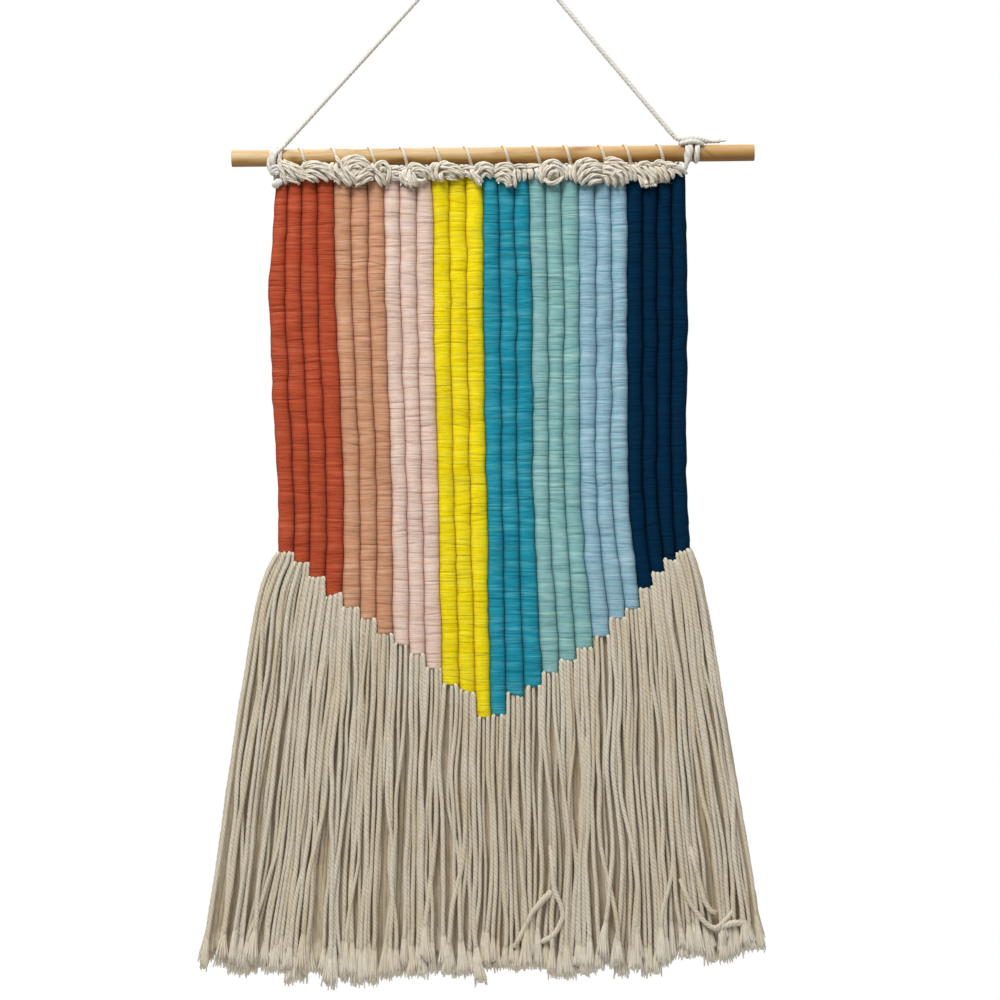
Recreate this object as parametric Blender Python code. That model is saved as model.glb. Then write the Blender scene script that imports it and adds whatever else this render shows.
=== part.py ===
"""Macrame rainbow wall hanging, with the rod and the cord that it hangs from.

Twenty-six bundles of cotton cord hang from a knotted heading under a wooden rod. Each bundle is
wound with coloured yarn down to a stepped V, and below the yarn it falls loose as fringe.

Lengths are in millimetres and are brought to metres where a mesh is made. +X is to the right,
+Z is up, and the face looks towards -Y. The origin is the underside of the hanging cord's bend,
where a hook or nail bears. A drop is a distance below that point.
"""

import math
import random
from typing import NamedTuple

import bmesh
import bpy
from mathutils import Vector

MM = 0.001
GAP = 0.3

# Wooden rod
ROD_RADIUS = 6.7
ROD_LENGTH = 418.0
ROD_MIDDLE_X = 2.4
ROD_DROP = 185.5
ROD_TILT = math.radians(0.66)
ROD_CHAMFER = 0.6
ROD_SIDES = 24

# Cotton cord of the hanger, its hitches and the lashing round the rod
CORD_RADIUS = 2.0
CORD_END_GAP = 0.36
HOOP_EASE = 0.1
LASHING_RADIUS = 1.6
LASHING_SIDES = 6
LASHING_STEPS = 8
LASHING_SLANT = 7.0
LASHING_START = -161.5
LASHING_X = (-149, -123, -93.5, -68, -41, -17, 13.5, 38, 62.5, 90.5, 110.5, 137)

# Knotted heading between the rod and the wrapped columns
HEADING_SIDES = 10
HEADING_CLEARANCE = 1.1
PLAIN_TOP = 9.5
PLAIN_FRONT = 8.0
HEADING_TAPER = 5.0
HEADING_COVER = 9.0
HEADING_END_SIZE = 0.6
HEADING_BACK = 5.0
HEADING_LEFT = -162.8
HEADING_RIGHT = 153.6
RIDGE_TURNS = 3
RIDGE_STEP = math.radians(125)

# Wrapped columns
COLUMN_DEPTH = 12.4
COLUMN_SIDES = 8
COLUMN_LEVELS = (221, 281, 341, 401, 461, 501, 541, 581)
COLUMN_TURN_IN = 14.0
COLUMN_LEAST_STEP = 8.0
COLUMN_UNEVEN = 0.05
HEAD_LEVEL = 221.0
WAIST_LEVEL = 301.0
HIP_LEVEL = 461.0

# Fringe
FRINGE_LEFT = -229.5
FRINGE_RIGHT = 221.0
PLUG_HEIGHT = 3.0
PLUG_DEPTH = 11.0
PLUG_INSET = 0.4
STRAND_ROWS = (3, 2, 3)
STRAND_GAP = 0.9
STRAND_WIDTH = 3.6
STRAND_END_WIDTH = 4.3
STRAND_DEPTH = 3.7
ROW_SPREAD = 0.1
STRAND_LEVELS = (0.09, 0.34, 1.0)
HEM_UNEVEN = 3.0
LANE_UNEVEN = 0.4
FAN_SHARE = 0.25
FAN_LENGTH = 0.06

# The hanging cord's route from the left hitch over the hook to the right hitch
HANGER_ROUTE = (
    (-163.4, -5.1, -176.8),
    (-147.0, -4.3, -158.8),
    (-128.0, -3.6, -137.9),
    (-108.0, -2.9, -116.0),
    (-88.0, -2.3, -94.0),
    (-68.0, -1.7, -71.9),
    (-48.0, -1.1, -49.7),
    (-30.0, -0.6, -29.4),
    (-15.0, -0.2, -12.4),
    (-7.0, 0.0, -3.0),
    (-3.6, 0.0, 0.8),
    (0.0, 0.0, 2.0),
    (3.5, 0.0, 0.6),
    (6.7, 0.0, -3.0),
    (14.5, -0.1, -12.4),
    (29.0, -0.3, -29.9),
    (47.0, -0.5, -51.5),
    (66.0, -0.8, -74.1),
    (86.0, -1.1, -98.0),
    (106.0, -1.4, -121.7),
    (126.0, -1.7, -145.4),
    (146.0, -2.0, -169.0),
)
HANGER_STEP = 12.0

COLOURS = {
    "rust": (0.50, 0.085, 0.037),
    "tan": (0.61, 0.32, 0.195),
    "pink": (0.72, 0.53, 0.47),
    "yellow": (0.80, 0.66, 0.018),
    "teal": (0.026, 0.29, 0.38),
    "sea_green": (0.24, 0.47, 0.42),
    "light_blue": (0.31, 0.49, 0.61),
    "navy": (0.003, 0.022, 0.068),
    "cotton": (0.60, 0.55, 0.45),
    "wood": (0.67, 0.43, 0.16),
}


class Column(NamedTuple):
    """One wrapped bundle: its middle across at four levels, and where it starts, stops and ends.

    foot_slant is how much lower its foot is on the right than on the left, and foot_share is its
    width at the foot as a share of the full width.
    """

    yarn: str
    head_x: float
    waist_x: float
    hip_x: float
    foot_x: float
    head: float
    foot: float
    hem: float
    foot_slant: float = 0.0
    foot_share: float = 0.95


COLUMNS = (
    Column("rust", -167, -170, -163, -163, 210.5, 503, 834),
    Column("rust", -157, -157.5, -150, -150.5, 206, 511, 838.5),
    Column("rust", -145, -144, -137, -138.5, 206, 522.5, 838.5),
    Column("rust", -131.5, -130, -123.5, -125, 204.5, 537, 844.5, foot_slant=-3.5),
    Column("tan", -118, -117, -110, -111, 207.5, 547, 848),
    Column("tan", -104.5, -103.5, -97, -98, 209, 556, 848.5),
    Column("tan", -91, -90, -84.5, -85, 206, 568, 848),
    Column("pink", -78.5, -77, -72.5, -70.5, 204.5, 576.5, 844, foot_slant=2),
    Column("pink", -65.5, -65, -60.5, -58, 210.5, 584.5, 840.5),
    Column("pink", -52.5, -51.5, -47.5, -45.5, 205, 595.5, 839.5),
    Column("yellow", -39.5, -38.5, -35, -31, 204.5, 608.5, 841, foot_slant=1.5),
    Column("yellow", -26.5, -25, -22.5, -17.5, 201, 614, 843, foot_slant=4),
    Column("yellow", -12.5, -11.5, -9, -5, 203.5, 634.5, 842.5),
    Column("teal", 1, 1.5, 3.5, 6.5, 203.5, 633, 834.5, foot_share=0.72),
    Column("teal", 13, 15, 16, 20.5, 209, 617, 838, foot_slant=5, foot_share=0.9),
    Column("teal", 25, 27.5, 28.5, 35, 203.5, 610, 837, foot_share=0.85),
    Column("sea_green", 37.5, 40, 41, 48.5, 197, 599, 841, foot_slant=1),
    Column("sea_green", 50.5, 53, 53.5, 62.5, 206.5, 589, 842),
    Column("sea_green", 63.5, 65, 66.5, 75.5, 205, 579.5, 839.5),
    Column("light_blue", 77.5, 78.5, 79.5, 89.5, 208.5, 570, 834.5, foot_slant=-1.5),
    Column("light_blue", 90.5, 91.5, 91.5, 102, 208.5, 555.5, 840),
    Column("light_blue", 103, 104, 105, 115, 209, 548, 839.5),
    Column("navy", 116.5, 116.5, 117.5, 125.5, 203.5, 531, 831.5, foot_slant=-2),
    Column("navy", 128, 128, 128.5, 135, 210.5, 519, 826),
    Column("navy", 139, 139.5, 139.5, 144.5, 208.5, 509, 830.5, foot_slant=2),
    Column("navy", 150.5, 151.5, 151.5, 155, 201, 502, 823.5, foot_slant=-3.5),
)


class Knot(NamedTuple):
    """A stretch of the heading: its ends, its top below the rod's axis and its reach to the front."""

    left: float
    right: float
    top: float
    front: float
    ridge: float


KNOTS = (
    Knot(-163, -146, 7.5, 11.0, 0.07),
    Knot(-146, -125.5, 5.5, 12.0, 0.12),
    Knot(-125.5, -93.5, 2.0, 14.5, 0.14),
    Knot(-93.5, -81.5, 6.5, 11.5, 0.12),
    Knot(-81.5, -69.5, 9.5, 8.5, 0.04),
    Knot(-69.5, -49, 8.5, 12.0, 0.14),
    Knot(-49, -21.5, 6.5, 12.0, 0.12),
    Knot(-21.5, 4, 9.0, 10.5, 0.12),
    Knot(4, 25, 10.0, 10.5, 0.10),
    Knot(25, 40, 9.8, 8.0, 0.04),
    Knot(40, 60, 7.5, 11.5, 0.12),
    Knot(60, 88, 6.0, 12.5, 0.14),
    Knot(88, 112.5, 4.0, 13.5, 0.14),
    Knot(112.5, 146, 8.0, 12.0, 0.12),
    Knot(146, 154, 10.0, 8.0, 0.05),
)


def clear_scene():
    """Remove every object that the scene holds."""
    for obj in list(bpy.data.objects):
        bpy.data.objects.remove(obj, do_unlink=True)


def material(name, roughness):
    """A plain finish in one of the named colours."""
    made = bpy.data.materials.get(name) or bpy.data.materials.new(name)
    made.use_nodes = True
    shader = made.node_tree.nodes["Principled BSDF"]
    shader.inputs["Base Color"].default_value = (*COLOURS[name], 1.0)
    shader.inputs["Roughness"].default_value = roughness
    shader.inputs["Metallic"].default_value = 0.0
    made.diffuse_color = (*COLOURS[name], 1.0)
    return made


def object_from(name, bm, finish, round_shape=True):
    """Close the bmesh's normals, bring it to metres and place it in the scene."""
    bmesh.ops.recalc_face_normals(bm, faces=bm.faces)
    bmesh.ops.scale(bm, vec=Vector((MM, MM, MM)), verts=bm.verts)
    mesh = bpy.data.meshes.new(name)
    bm.to_mesh(mesh)
    bm.free()
    if round_shape:
        mesh.shade_smooth()
        mesh.set_sharp_from_angle(angle=math.radians(50))
    mesh.materials.append(finish)
    obj = bpy.data.objects.new(name, mesh)
    bpy.context.scene.collection.objects.link(obj)
    return obj


def hide_helper(obj):
    """Keep a shape that only feeds a Boolean out of the picture."""
    obj.hide_render = True
    obj.display_type = "WIRE"


def fuse(obj, *others):
    """Join each helper to the object as one body."""
    for other in others:
        hide_helper(other)
        union = obj.modifiers.new("with_" + other.name, "BOOLEAN")
        union.operation = "UNION"
        union.solver = "EXACT"
        union.object = other


def along(levels, values, level):
    """A smooth curve through the values at their levels, carried on straight past the ends."""
    if level <= levels[0] or level >= levels[-1]:
        a, b = (0, 1) if level <= levels[0] else (-2, -1)
        slope = (values[b] - values[a]) / (levels[b] - levels[a])
        nearest = 0 if level <= levels[0] else -1
        return values[nearest] + slope * (level - levels[nearest])
    i = next(k for k in range(len(levels) - 1) if level <= levels[k + 1])
    slopes = []
    for k in (i, i + 1):
        before, after = max(k - 1, 0), min(k + 1, len(levels) - 1)
        slopes.append((values[after] - values[before]) / (levels[after] - levels[before]))
    span = levels[i + 1] - levels[i]
    t = (level - levels[i]) / span
    start = (2 * t**3 - 3 * t**2 + 1) * values[i] + (t**3 - 2 * t**2 + t) * span * slopes[0]
    end = (3 * t**2 - 2 * t**3) * values[i + 1] + (t**3 - t**2) * span * slopes[1]
    return start + end


def rod_z(x):
    """Height of the rod's axis."""
    return -ROD_DROP + math.tan(ROD_TILT) * (x - ROD_MIDDLE_X)


def outside_rod(point, clearance):
    """The point, moved straight out from the rod's axis where it is nearer than the clearance."""
    axis_z = rod_z(point.x)
    away = Vector((0.0, point.y, point.z - axis_z))
    if away.length >= ROD_RADIUS + clearance:
        return point
    away = away.normalized() * (ROD_RADIUS + clearance)
    return Vector((point.x, away.y, axis_z + away.z))


def middle(column, drop):
    """A column's middle across at a drop."""
    levels = (HEAD_LEVEL, WAIST_LEVEL, HIP_LEVEL, column.foot)
    return along(levels, (column.head_x, column.waist_x, column.hip_x, column.foot_x), drop)


def edge(number, drop):
    """Where column number ends and the next begins, with 0 as the first column's left side."""
    if number == 0:
        return 2 * middle(COLUMNS[0], drop) - edge(1, drop)
    if number == len(COLUMNS):
        return 2 * middle(COLUMNS[-1], drop) - edge(number - 1, drop)
    return (middle(COLUMNS[number - 1], drop) + middle(COLUMNS[number], drop)) / 2


def loft(bm, rings):
    """Skin a list of rings of points, and cap the two ends."""
    made = [[bm.verts.new(point) for point in ring] for ring in rings]
    for lower, upper in zip(made, made[1:]):
        count = len(lower)
        for i in range(count):
            j = (i + 1) % count
            bm.faces.new((lower[i], lower[j], upper[j], upper[i]))
    bm.faces.new(made[0])
    bm.faces.new(made[-1])


def frames(points):
    """Two directions square to a path at each of its points, turning as little as can be."""
    result = []
    side = None
    for i, point in enumerate(points):
        before, after = points[max(i - 1, 0)], points[min(i + 1, len(points) - 1)]
        ahead = (after - before).normalized()
        if side is None:
            side = ahead.orthogonal().normalized()
        side = (side - ahead * side.dot(ahead)).normalized()
        result.append((point, side, ahead.cross(side)))
    return result


def tube(bm, points, radii, sides):
    """A solid round cord along the points."""
    rings = []
    for (point, side, up), radius in zip(frames(points), radii):
        turn = [2 * math.pi * k / sides for k in range(sides)]
        rings.append([point + radius * (math.cos(a) * side + math.sin(a) * up) for a in turn])
    loft(bm, rings)


def hoop(bm, x, steps=10, sides=6):
    """A ring of cord round the rod."""
    radius = (ROD_RADIUS + GAP + CORD_RADIUS) / math.cos(math.pi / steps) + HOOP_EASE
    made = []
    for i in range(steps):
        a = 2 * math.pi * i / steps
        out = Vector((0.0, math.sin(a), math.cos(a)))
        centre = Vector((x, 0.0, rod_z(x))) + radius * out
        across = Vector((1.0, 0.0, 0.0))
        turn = [2 * math.pi * k / sides for k in range(sides)]
        ring = [centre + CORD_RADIUS * (math.cos(b) * out + math.sin(b) * across) for b in turn]
        made.append([bm.verts.new(point) for point in ring])
    for i in range(steps):
        lower, upper = made[i], made[(i + 1) % steps]
        for k in range(sides):
            j = (k + 1) % sides
            bm.faces.new((lower[k], lower[j], upper[j], upper[k]))


def ridged_knot(bm, centre, half, sides=12, rows=7, ridge=0.12):
    """A lump of knotted cord, ridged where its turns lie side by side."""
    poles = [bm.verts.new(centre + Vector((0.0, 0.0, half.z * end))) for end in (1, -1)]
    made = []
    for row in range(1, rows):
        lift = math.pi * row / rows
        ring = []
        for k in range(sides):
            a = 2 * math.pi * k / sides
            swell = 1 + ridge * math.cos(RIDGE_TURNS * a + RIDGE_STEP * row) * math.sin(lift)
            flat = math.sin(lift) * swell
            offset = Vector((math.cos(a) * flat, math.sin(a) * flat, math.cos(lift)))
            point = centre + Vector(tuple(o * h for o, h in zip(offset, half)))
            ring.append(bm.verts.new(outside_rod(point, HEADING_CLEARANCE)))
        made.append(ring)
    for lower, upper in zip(made, made[1:]):
        for k in range(sides):
            j = (k + 1) % sides
            bm.faces.new((lower[k], lower[j], upper[j], upper[k]))
    for pole, ring in zip(poles, (made[0], made[-1])):
        for k in range(sides):
            bm.faces.new((pole, ring[k], ring[(k + 1) % sides]))


def build_rod():
    """The wooden rod, a plain round stick with its ends just broken."""
    bm = bmesh.new()
    half = ROD_LENGTH / 2
    stations = (
        (-half, ROD_RADIUS - ROD_CHAMFER),
        (-half + ROD_CHAMFER, ROD_RADIUS),
        (half - ROD_CHAMFER, ROD_RADIUS),
        (half, ROD_RADIUS - ROD_CHAMFER),
    )
    rings = []
    for x, radius in stations:
        turn = [2 * math.pi * k / ROD_SIDES for k in range(ROD_SIDES)]
        rings.append([Vector((x, radius * math.cos(a), radius * math.sin(a))) for a in turn])
    loft(bm, rings)
    rod = object_from("rod", bm, material("wood", 0.55))
    rod.location = Vector((ROD_MIDDLE_X, 0.0, -ROD_DROP)) * MM
    rod.rotation_euler = (0.0, -ROD_TILT, 0.0)


def smooth_route(points, step):
    """Points every step or so along a smooth curve through the route, nearer where it bends."""
    route = [Vector(point) for point in points]
    result = [route[0]]
    for i in range(len(route) - 1):
        p1, p2 = route[i], route[i + 1]
        span = (p2 - p1).length
        p0 = route[i - 1] if i else p1
        p3 = route[i + 2] if i + 2 < len(route) else p2
        scale0 = span / max((p2 - p0).length, 1e-6)
        scale1 = span / max((p3 - p1).length, 1e-6)
        pull1, pull2 = (p2 - p0) * scale0, (p3 - p1) * scale1
        count = max(2 if span < step else 1, round(span / step))
        for k in range(1, count + 1):
            t = k / count
            result.append(
                (2 * t**3 - 3 * t**2 + 1) * p1
                + (t**3 - 2 * t**2 + t) * pull1
                + (3 * t**2 - 2 * t**3) * p2
                + (t**3 - t**2) * pull2
            )
    return result


def build_hanging_cord():
    """The cord between the two hitches, bent over the hook."""
    points = smooth_route(HANGER_ROUTE, HANGER_STEP)
    curve = bpy.data.curves.new("hanging_cord", "CURVE")
    curve.dimensions = "3D"
    curve.bevel_depth = CORD_RADIUS * MM
    curve.bevel_resolution = 2
    curve.use_fill_caps = True
    spline = curve.splines.new("POLY")
    spline.points.add(len(points) - 1)
    for target, point in zip(spline.points, points):
        target.co = (*(point * MM), 1.0)
    spline.use_smooth = True
    curve.materials.append(material("cotton", 0.9))
    obj = bpy.data.objects.new("hanging_cord", curve)
    bpy.context.scene.collection.objects.link(obj)


def helper_tube(name, points, radii, sides=8):
    """A stretch of cord to be joined to a hitch."""
    bm = bmesh.new()
    tube(bm, [Vector(point) for point in points], radii, sides)
    return object_from(name, bm, material("cotton", 0.9))


def helper_hoop(name, x):
    """A turn of cord round the rod, to be joined to a hitch."""
    bm = bmesh.new()
    hoop(bm, x)
    return object_from(name, bm, material("cotton", 0.9))


def build_left_hitch():
    """The hanging cord's left end: two turns round the rod, a knot below and a short tail."""
    bm = bmesh.new()
    ridged_knot(bm, Vector((-171.2, -4.5, -200.6)), Vector((6.0, 6.2, 6.0)))
    hitch = object_from("left_hitch", bm, material("cotton", 0.9))
    start = Vector(HANGER_ROUTE[0])
    down = (start - Vector(HANGER_ROUTE[1])).normalized()
    lead = (
        start + CORD_END_GAP * down,
        start + 3.2 * down,
        (-170.4, -8.6, -182.8),
        (-174.3, -9.4, -186.0),
    )
    fuse(
        hitch,
        helper_hoop("left_hitch_outer_turn", -174.3),
        helper_hoop("left_hitch_inner_turn", -168.2),
        helper_tube("left_hitch_lead", lead, (2.0, 2.2, 2.4, 1.9)),
        helper_tube(
            "left_hitch_tail",
            ((-170.4, -5.5, -203.0), (-171.0, -6.0, -206.6), (-171.6, -6.0, -210.1)),
            (2.4, 2.6, 2.2),
        ),
    )


def build_right_hitch():
    """The hanging cord's right end: two turns round the rod, and a tail along its top."""
    bm = bmesh.new()
    ridged_knot(bm, Vector((159.2, -4.5, -196.2)), Vector((4.4, 4.8, 4.2)))
    hitch = object_from("right_hitch", bm, material("cotton", 0.9))
    end = Vector(HANGER_ROUTE[-1])
    down = (end - Vector(HANGER_ROUTE[-2])).normalized()
    over = (
        end + CORD_END_GAP * down,
        end + 2.2 * down,
        (152.5, -2.6, -172.3),
        (159.0, -2.8, -172.6),
        (166.5, -2.2, -173.3),
        (175.0, -1.0, -173.7),
        (184.0, 0.0, -173.6),
    )
    fuse(
        hitch,
        helper_hoop("right_hitch_inner_turn", 158.4),
        helper_hoop("right_hitch_outer_turn", 165.2),
        helper_tube("right_hitch_tail", over, (2.0, 2.5, 2.9, 3.0, 2.7, 2.1, 2.3)),
    )


def knot_at(x):
    """The heading's top, front and ridge height at a place across."""
    here = min(KNOTS, key=lambda knot: max(knot.left - x, x - knot.right, 0.0))
    inside = max(min((x - here.left) / (here.right - here.left), 1.0), 0.0)
    swell = math.sin(math.pi * inside) ** 0.5
    top = PLAIN_TOP + (here.top - PLAIN_TOP) * swell
    front = PLAIN_FRONT + (here.front - PLAIN_FRONT) * swell
    return top, front, here.ridge * swell


def heading_stations():
    """Places across where the heading has a ring: each column's middle and each side that two share."""
    places = [HEADING_LEFT]
    for number, column in enumerate(COLUMNS):
        places += [column.head_x, edge(number + 1, column.head)]
    places.append(HEADING_RIGHT)
    inner = sorted(x for x in places if HEADING_LEFT + 1 < x < HEADING_RIGHT - 1)
    return [HEADING_LEFT, *inner, HEADING_RIGHT]


def heading_foot(x):
    """The lowest height that the heading may have over the tops of the columns near a place."""
    near = [c.head for c in COLUMNS if abs(c.head_x - x) < HEADING_COVER]
    return -min(near) + 1.3 * GAP


def build_heading():
    """The row of ridged knots under the rod, with the cord that lashes it to the rod."""
    bm = bmesh.new()
    rings = []
    for number, x in enumerate(heading_stations()):
        top, front, ridge = knot_at(x)
        high, low = rod_z(x) - top, heading_foot(x)
        inward = min(x - HEADING_LEFT, HEADING_RIGHT - x, HEADING_TAPER) / HEADING_TAPER
        size = HEADING_END_SIZE + (1 - HEADING_END_SIZE) * inward
        centre = Vector((x, (HEADING_BACK - front) / 2, (high + low) / 2))
        half_depth, half_height = (HEADING_BACK + front) / 2 * size, (high - low) / 2 * size
        ring = []
        for k in range(HEADING_SIDES):
            a = 2 * math.pi * k / HEADING_SIDES
            swell = 1 - ridge + ridge * math.cos(RIDGE_TURNS * a + RIDGE_STEP * number)
            offset = Vector((0.0, half_depth * math.cos(a), half_height * math.sin(a)))
            ring.append(outside_rod(centre + swell * offset, HEADING_CLEARANCE))
        rings.append(ring)
    loft(bm, rings)
    heading = object_from("heading", bm, material("cotton", 0.9))
    fuse(heading, build_lashing())


def lashing_dip(x):
    """How far below the rod's axis the lashing passes through the heading."""
    return (knot_at(x)[0] + rod_z(x) - heading_foot(x)) / 2


def build_lashing():
    """The cord that spirals round the rod and dips into the heading at each turn."""
    reach = (ROD_RADIUS + GAP + LASHING_RADIUS) / math.cos(math.pi / LASHING_STEPS) + HOOP_EASE
    points = []
    for turn, x in enumerate(LASHING_X):
        before = LASHING_X[turn - 1] if turn else LASHING_START
        start, top, foot = before + LASHING_SLANT / 2, x - LASHING_SLANT / 2, x + LASHING_SLANT / 2
        for k in range(LASHING_STEPS):
            share = k / LASHING_STEPS
            if share < 0.5:
                across = start + (top - start) * share / 0.5
            else:
                across = top + (foot - top) * (share - 0.5) / 0.5
            a = math.pi - 2 * math.pi * share
            lift = reach if math.cos(a) > 0 else lashing_dip(across)
            away = Vector((0.0, reach * math.sin(a), lift * math.cos(a)))
            points.append(Vector((across, 0.0, rod_z(across))) + away)
    last = LASHING_X[-1] + LASHING_SLANT / 2
    points.append(Vector((last, 0.0, rod_z(last) - lashing_dip(last))))
    bm = bmesh.new()
    tube(bm, points, [LASHING_RADIUS] * len(points), LASHING_SIDES)
    return object_from("lashing", bm, material("cotton", 0.9))


def column_ring(number, drop, uneven, share=1.0, slant=0.0):
    """One ring of a wrapped column, filling the space between its neighbours."""
    left, right = edge(number - 1, drop), edge(number, drop)
    half = ((right - left) / 2 - GAP / 2) * share * uneven
    depth = COLUMN_DEPTH / 2 * uneven * (0.5 + 0.5 * share)
    ring = []
    for k in range(COLUMN_SIDES):
        a = 2 * math.pi * k / COLUMN_SIDES
        x = (left + right) / 2 + half * math.cos(a)
        ring.append(Vector((x, depth * math.sin(a), -drop - slant * math.cos(a) / 2)))
    return ring


def build_column(number, column, chance):
    """A bundle wound with yarn, a little uneven down its length."""
    turn_in = column.foot - COLUMN_TURN_IN
    drops = [column.head]
    drops += [
        level
        for level in COLUMN_LEVELS
        if column.head + COLUMN_LEAST_STEP < level < turn_in - COLUMN_LEAST_STEP
    ]
    rings = []
    for drop in (*drops, turn_in):
        rings.append(column_ring(number, drop, 1 - COLUMN_UNEVEN * chance.random()))
    rings.append(column_ring(number, column.foot, 1.0, column.foot_share, column.foot_slant))
    bm = bmesh.new()
    loft(bm, rings)
    object_from(f"column_{number:02d}", bm, material(column.yarn, 0.85))


def fan(share):
    """How far a strand has moved across by a share of its fall: quickly at first, then evenly."""
    early = (1 - math.exp(-share / FAN_LENGTH)) / (1 - math.exp(-1 / FAN_LENGTH))
    return FAN_SHARE * early + (1 - FAN_SHARE) * share


def lines_across(low, high, cells, gap):
    """The sides of a row of cells with equal gaps between them."""
    width = (high - low - gap * (cells - 1)) / cells
    return [low + k * (width + gap) + side * width for k in range(cells) for side in (0, 1)]


def build_fringe(number, column, chance):
    """The loose strands under a column, from one plug at the column's foot."""
    bm = bmesh.new()
    left = edge(number - 1, column.foot)
    right = edge(number, column.foot)
    half = ((right - left) / 2 - GAP / 2) * column.foot_share - PLUG_INSET
    centre = (left + right) / 2
    root = column.foot + GAP + PLUG_HEIGHT
    xs = lines_across(centre - half, centre + half, max(STRAND_ROWS), STRAND_GAP)
    ys = lines_across(-PLUG_DEPTH / 2, PLUG_DEPTH / 2, len(STRAND_ROWS), STRAND_GAP)

    def lower(x, drop):
        """A drop, made lower towards the side where the column's foot slants down."""
        return -drop - column.foot_slant * (x - centre) / (2 * (half + PLUG_INSET))

    grid = [[bm.verts.new((x, y, lower(x, root))) for x in xs] for y in ys]
    top = root - PLUG_HEIGHT
    corners = {
        (i, j): bm.verts.new((xs[i], ys[j], lower(xs[i], top))) for i in (0, -1) for j in (0, -1)
    }
    bm.faces.new((corners[0, 0], corners[-1, 0], corners[-1, -1], corners[0, -1]))
    rims = (
        (grid[0], corners[0, 0], corners[-1, 0]),
        (grid[-1], corners[0, -1], corners[-1, -1]),
        ([row[0] for row in grid], corners[0, 0], corners[0, -1]),
        ([row[-1] for row in grid], corners[-1, 0], corners[-1, -1]),
    )
    for rim, first, last in rims:
        for a, b in zip(rim, rim[1:]):
            bm.faces.new((first, a, b))
        bm.faces.new((first, rim[-1], last))
    lane = (FRINGE_RIGHT - FRINGE_LEFT) / len(COLUMNS)
    for j in range(len(ys) - 1):
        for i in range(len(xs) - 1):
            corner = (grid[j][i], grid[j][i + 1], grid[j + 1][i + 1], grid[j + 1][i])
            place, row = i // 2, j // 2
            count = STRAND_ROWS[row]
            is_strand = i % 2 == 0 and j % 2 == 0 and not (count == 2 and place == 1)
            if not is_strand:
                bm.faces.new(corner)
                continue
            order = place if count == 3 else place // 2
            end_x = FRINGE_LEFT + lane * (number - 1 + (order + 0.5) / count)
            hem = column.hem + HEM_UNEVEN * (2 * chance.random() - 1)
            strand(bm, corner, end_x + LANE_UNEVEN * (2 * chance.random() - 1), hem)
    object_from(f"fringe_{number:02d}", bm, material("cotton", 0.9), round_shape=False)


def strand(bm, corner, end_x, hem):
    """A square strand that falls from four corners and leans out to its place at the hem."""
    points = [vert.co.copy() for vert in corner]
    start = sum(points, Vector()) / 4
    fall = hem + start.z
    upper = list(corner)
    for share in STRAND_LEVELS:
        width = STRAND_END_WIDTH if share == 1.0 else STRAND_WIDTH
        middle_x = start.x + (end_x - start.x) * fan(share)
        spread = 1 + ROW_SPREAD * fan(share)
        ring = []
        for point in points:
            side_x = math.copysign(width / 2, point.x - start.x)
            side_y = math.copysign(min(width, STRAND_DEPTH) / 2, point.y - start.y)
            spot = Vector((middle_x + side_x, start.y * spread + side_y, start.z - fall * share))
            ring.append(bm.verts.new(spot))
        for k in range(4):
            j = (k + 1) % 4
            bm.faces.new((upper[k], upper[j], ring[j], ring[k]))
        upper = ring
    bm.faces.new(upper)


def main():
    """Build the hanging from the hook down."""
    clear_scene()
    build_hanging_cord()
    build_rod()
    build_left_hitch()
    build_right_hitch()
    build_heading()
    chance = random.Random(26)
    for number, column in enumerate(COLUMNS, start=1):
        build_column(number, column, chance)
        build_fringe(number, column, chance)


main()
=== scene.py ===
"""Looks of the macrame rainbow wall hanging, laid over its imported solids.

Twenty-six bundles wound with coloured yarn hang from a row of cotton knots under a wooden rod, and
fall loose as twisted fringe below the yarn. Lengths are in millimetres and are brought to metres
where a mesh is made. A drop is a distance below the hook, which is the origin.
"""

import logging
import math
from dataclasses import dataclass, field
from enum import Enum
from typing import NamedTuple

import bpy
import numpy as np
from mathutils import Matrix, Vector


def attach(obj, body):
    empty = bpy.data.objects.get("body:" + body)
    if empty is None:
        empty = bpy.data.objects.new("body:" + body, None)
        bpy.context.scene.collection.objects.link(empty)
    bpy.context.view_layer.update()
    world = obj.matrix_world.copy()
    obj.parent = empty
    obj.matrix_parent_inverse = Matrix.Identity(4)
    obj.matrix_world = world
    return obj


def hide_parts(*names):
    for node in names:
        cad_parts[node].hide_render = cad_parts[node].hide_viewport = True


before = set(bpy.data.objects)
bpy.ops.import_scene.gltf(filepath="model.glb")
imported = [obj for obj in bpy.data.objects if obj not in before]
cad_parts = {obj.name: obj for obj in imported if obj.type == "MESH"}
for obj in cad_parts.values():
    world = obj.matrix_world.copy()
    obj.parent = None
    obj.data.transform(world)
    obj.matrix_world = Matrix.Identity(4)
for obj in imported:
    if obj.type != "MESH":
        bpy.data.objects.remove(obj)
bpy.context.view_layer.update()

LOG = logging.getLogger("wall_hanging")
MM = 0.001
BODY = "root"
SEED = 26
Colour = tuple[float, float, float]

ROD_RADIUS = 6.7
ROD_LENGTH = 418.0
ROD_MIDDLE_X = 2.4
ROD_DROP = 185.5
ROD_TILT = math.radians(0.66)

HEAD_LEVEL = 221.0
WAIST_LEVEL = 301.0
HIP_LEVEL = 461.0
SPREAD_SEAMS = (0, 1, 2, 3, 4, 5, 7, 10, 13, 17, 20, 22, 23, 24, 25, 26)
SPREAD = (-60, -49, -39, -29, -20, -14, -7, -2, 0, 2, 6, 12, 20, 31, 44, 59)
EARLY_SEAMS = (0, 1, 2, 4, 22, 24, 25, 26)
EARLY = (0.19, 0.15, 0.1, 0.05, 0.03, 0.04, 0.07, 0.1)
FAN_LENGTH = 0.06

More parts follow.
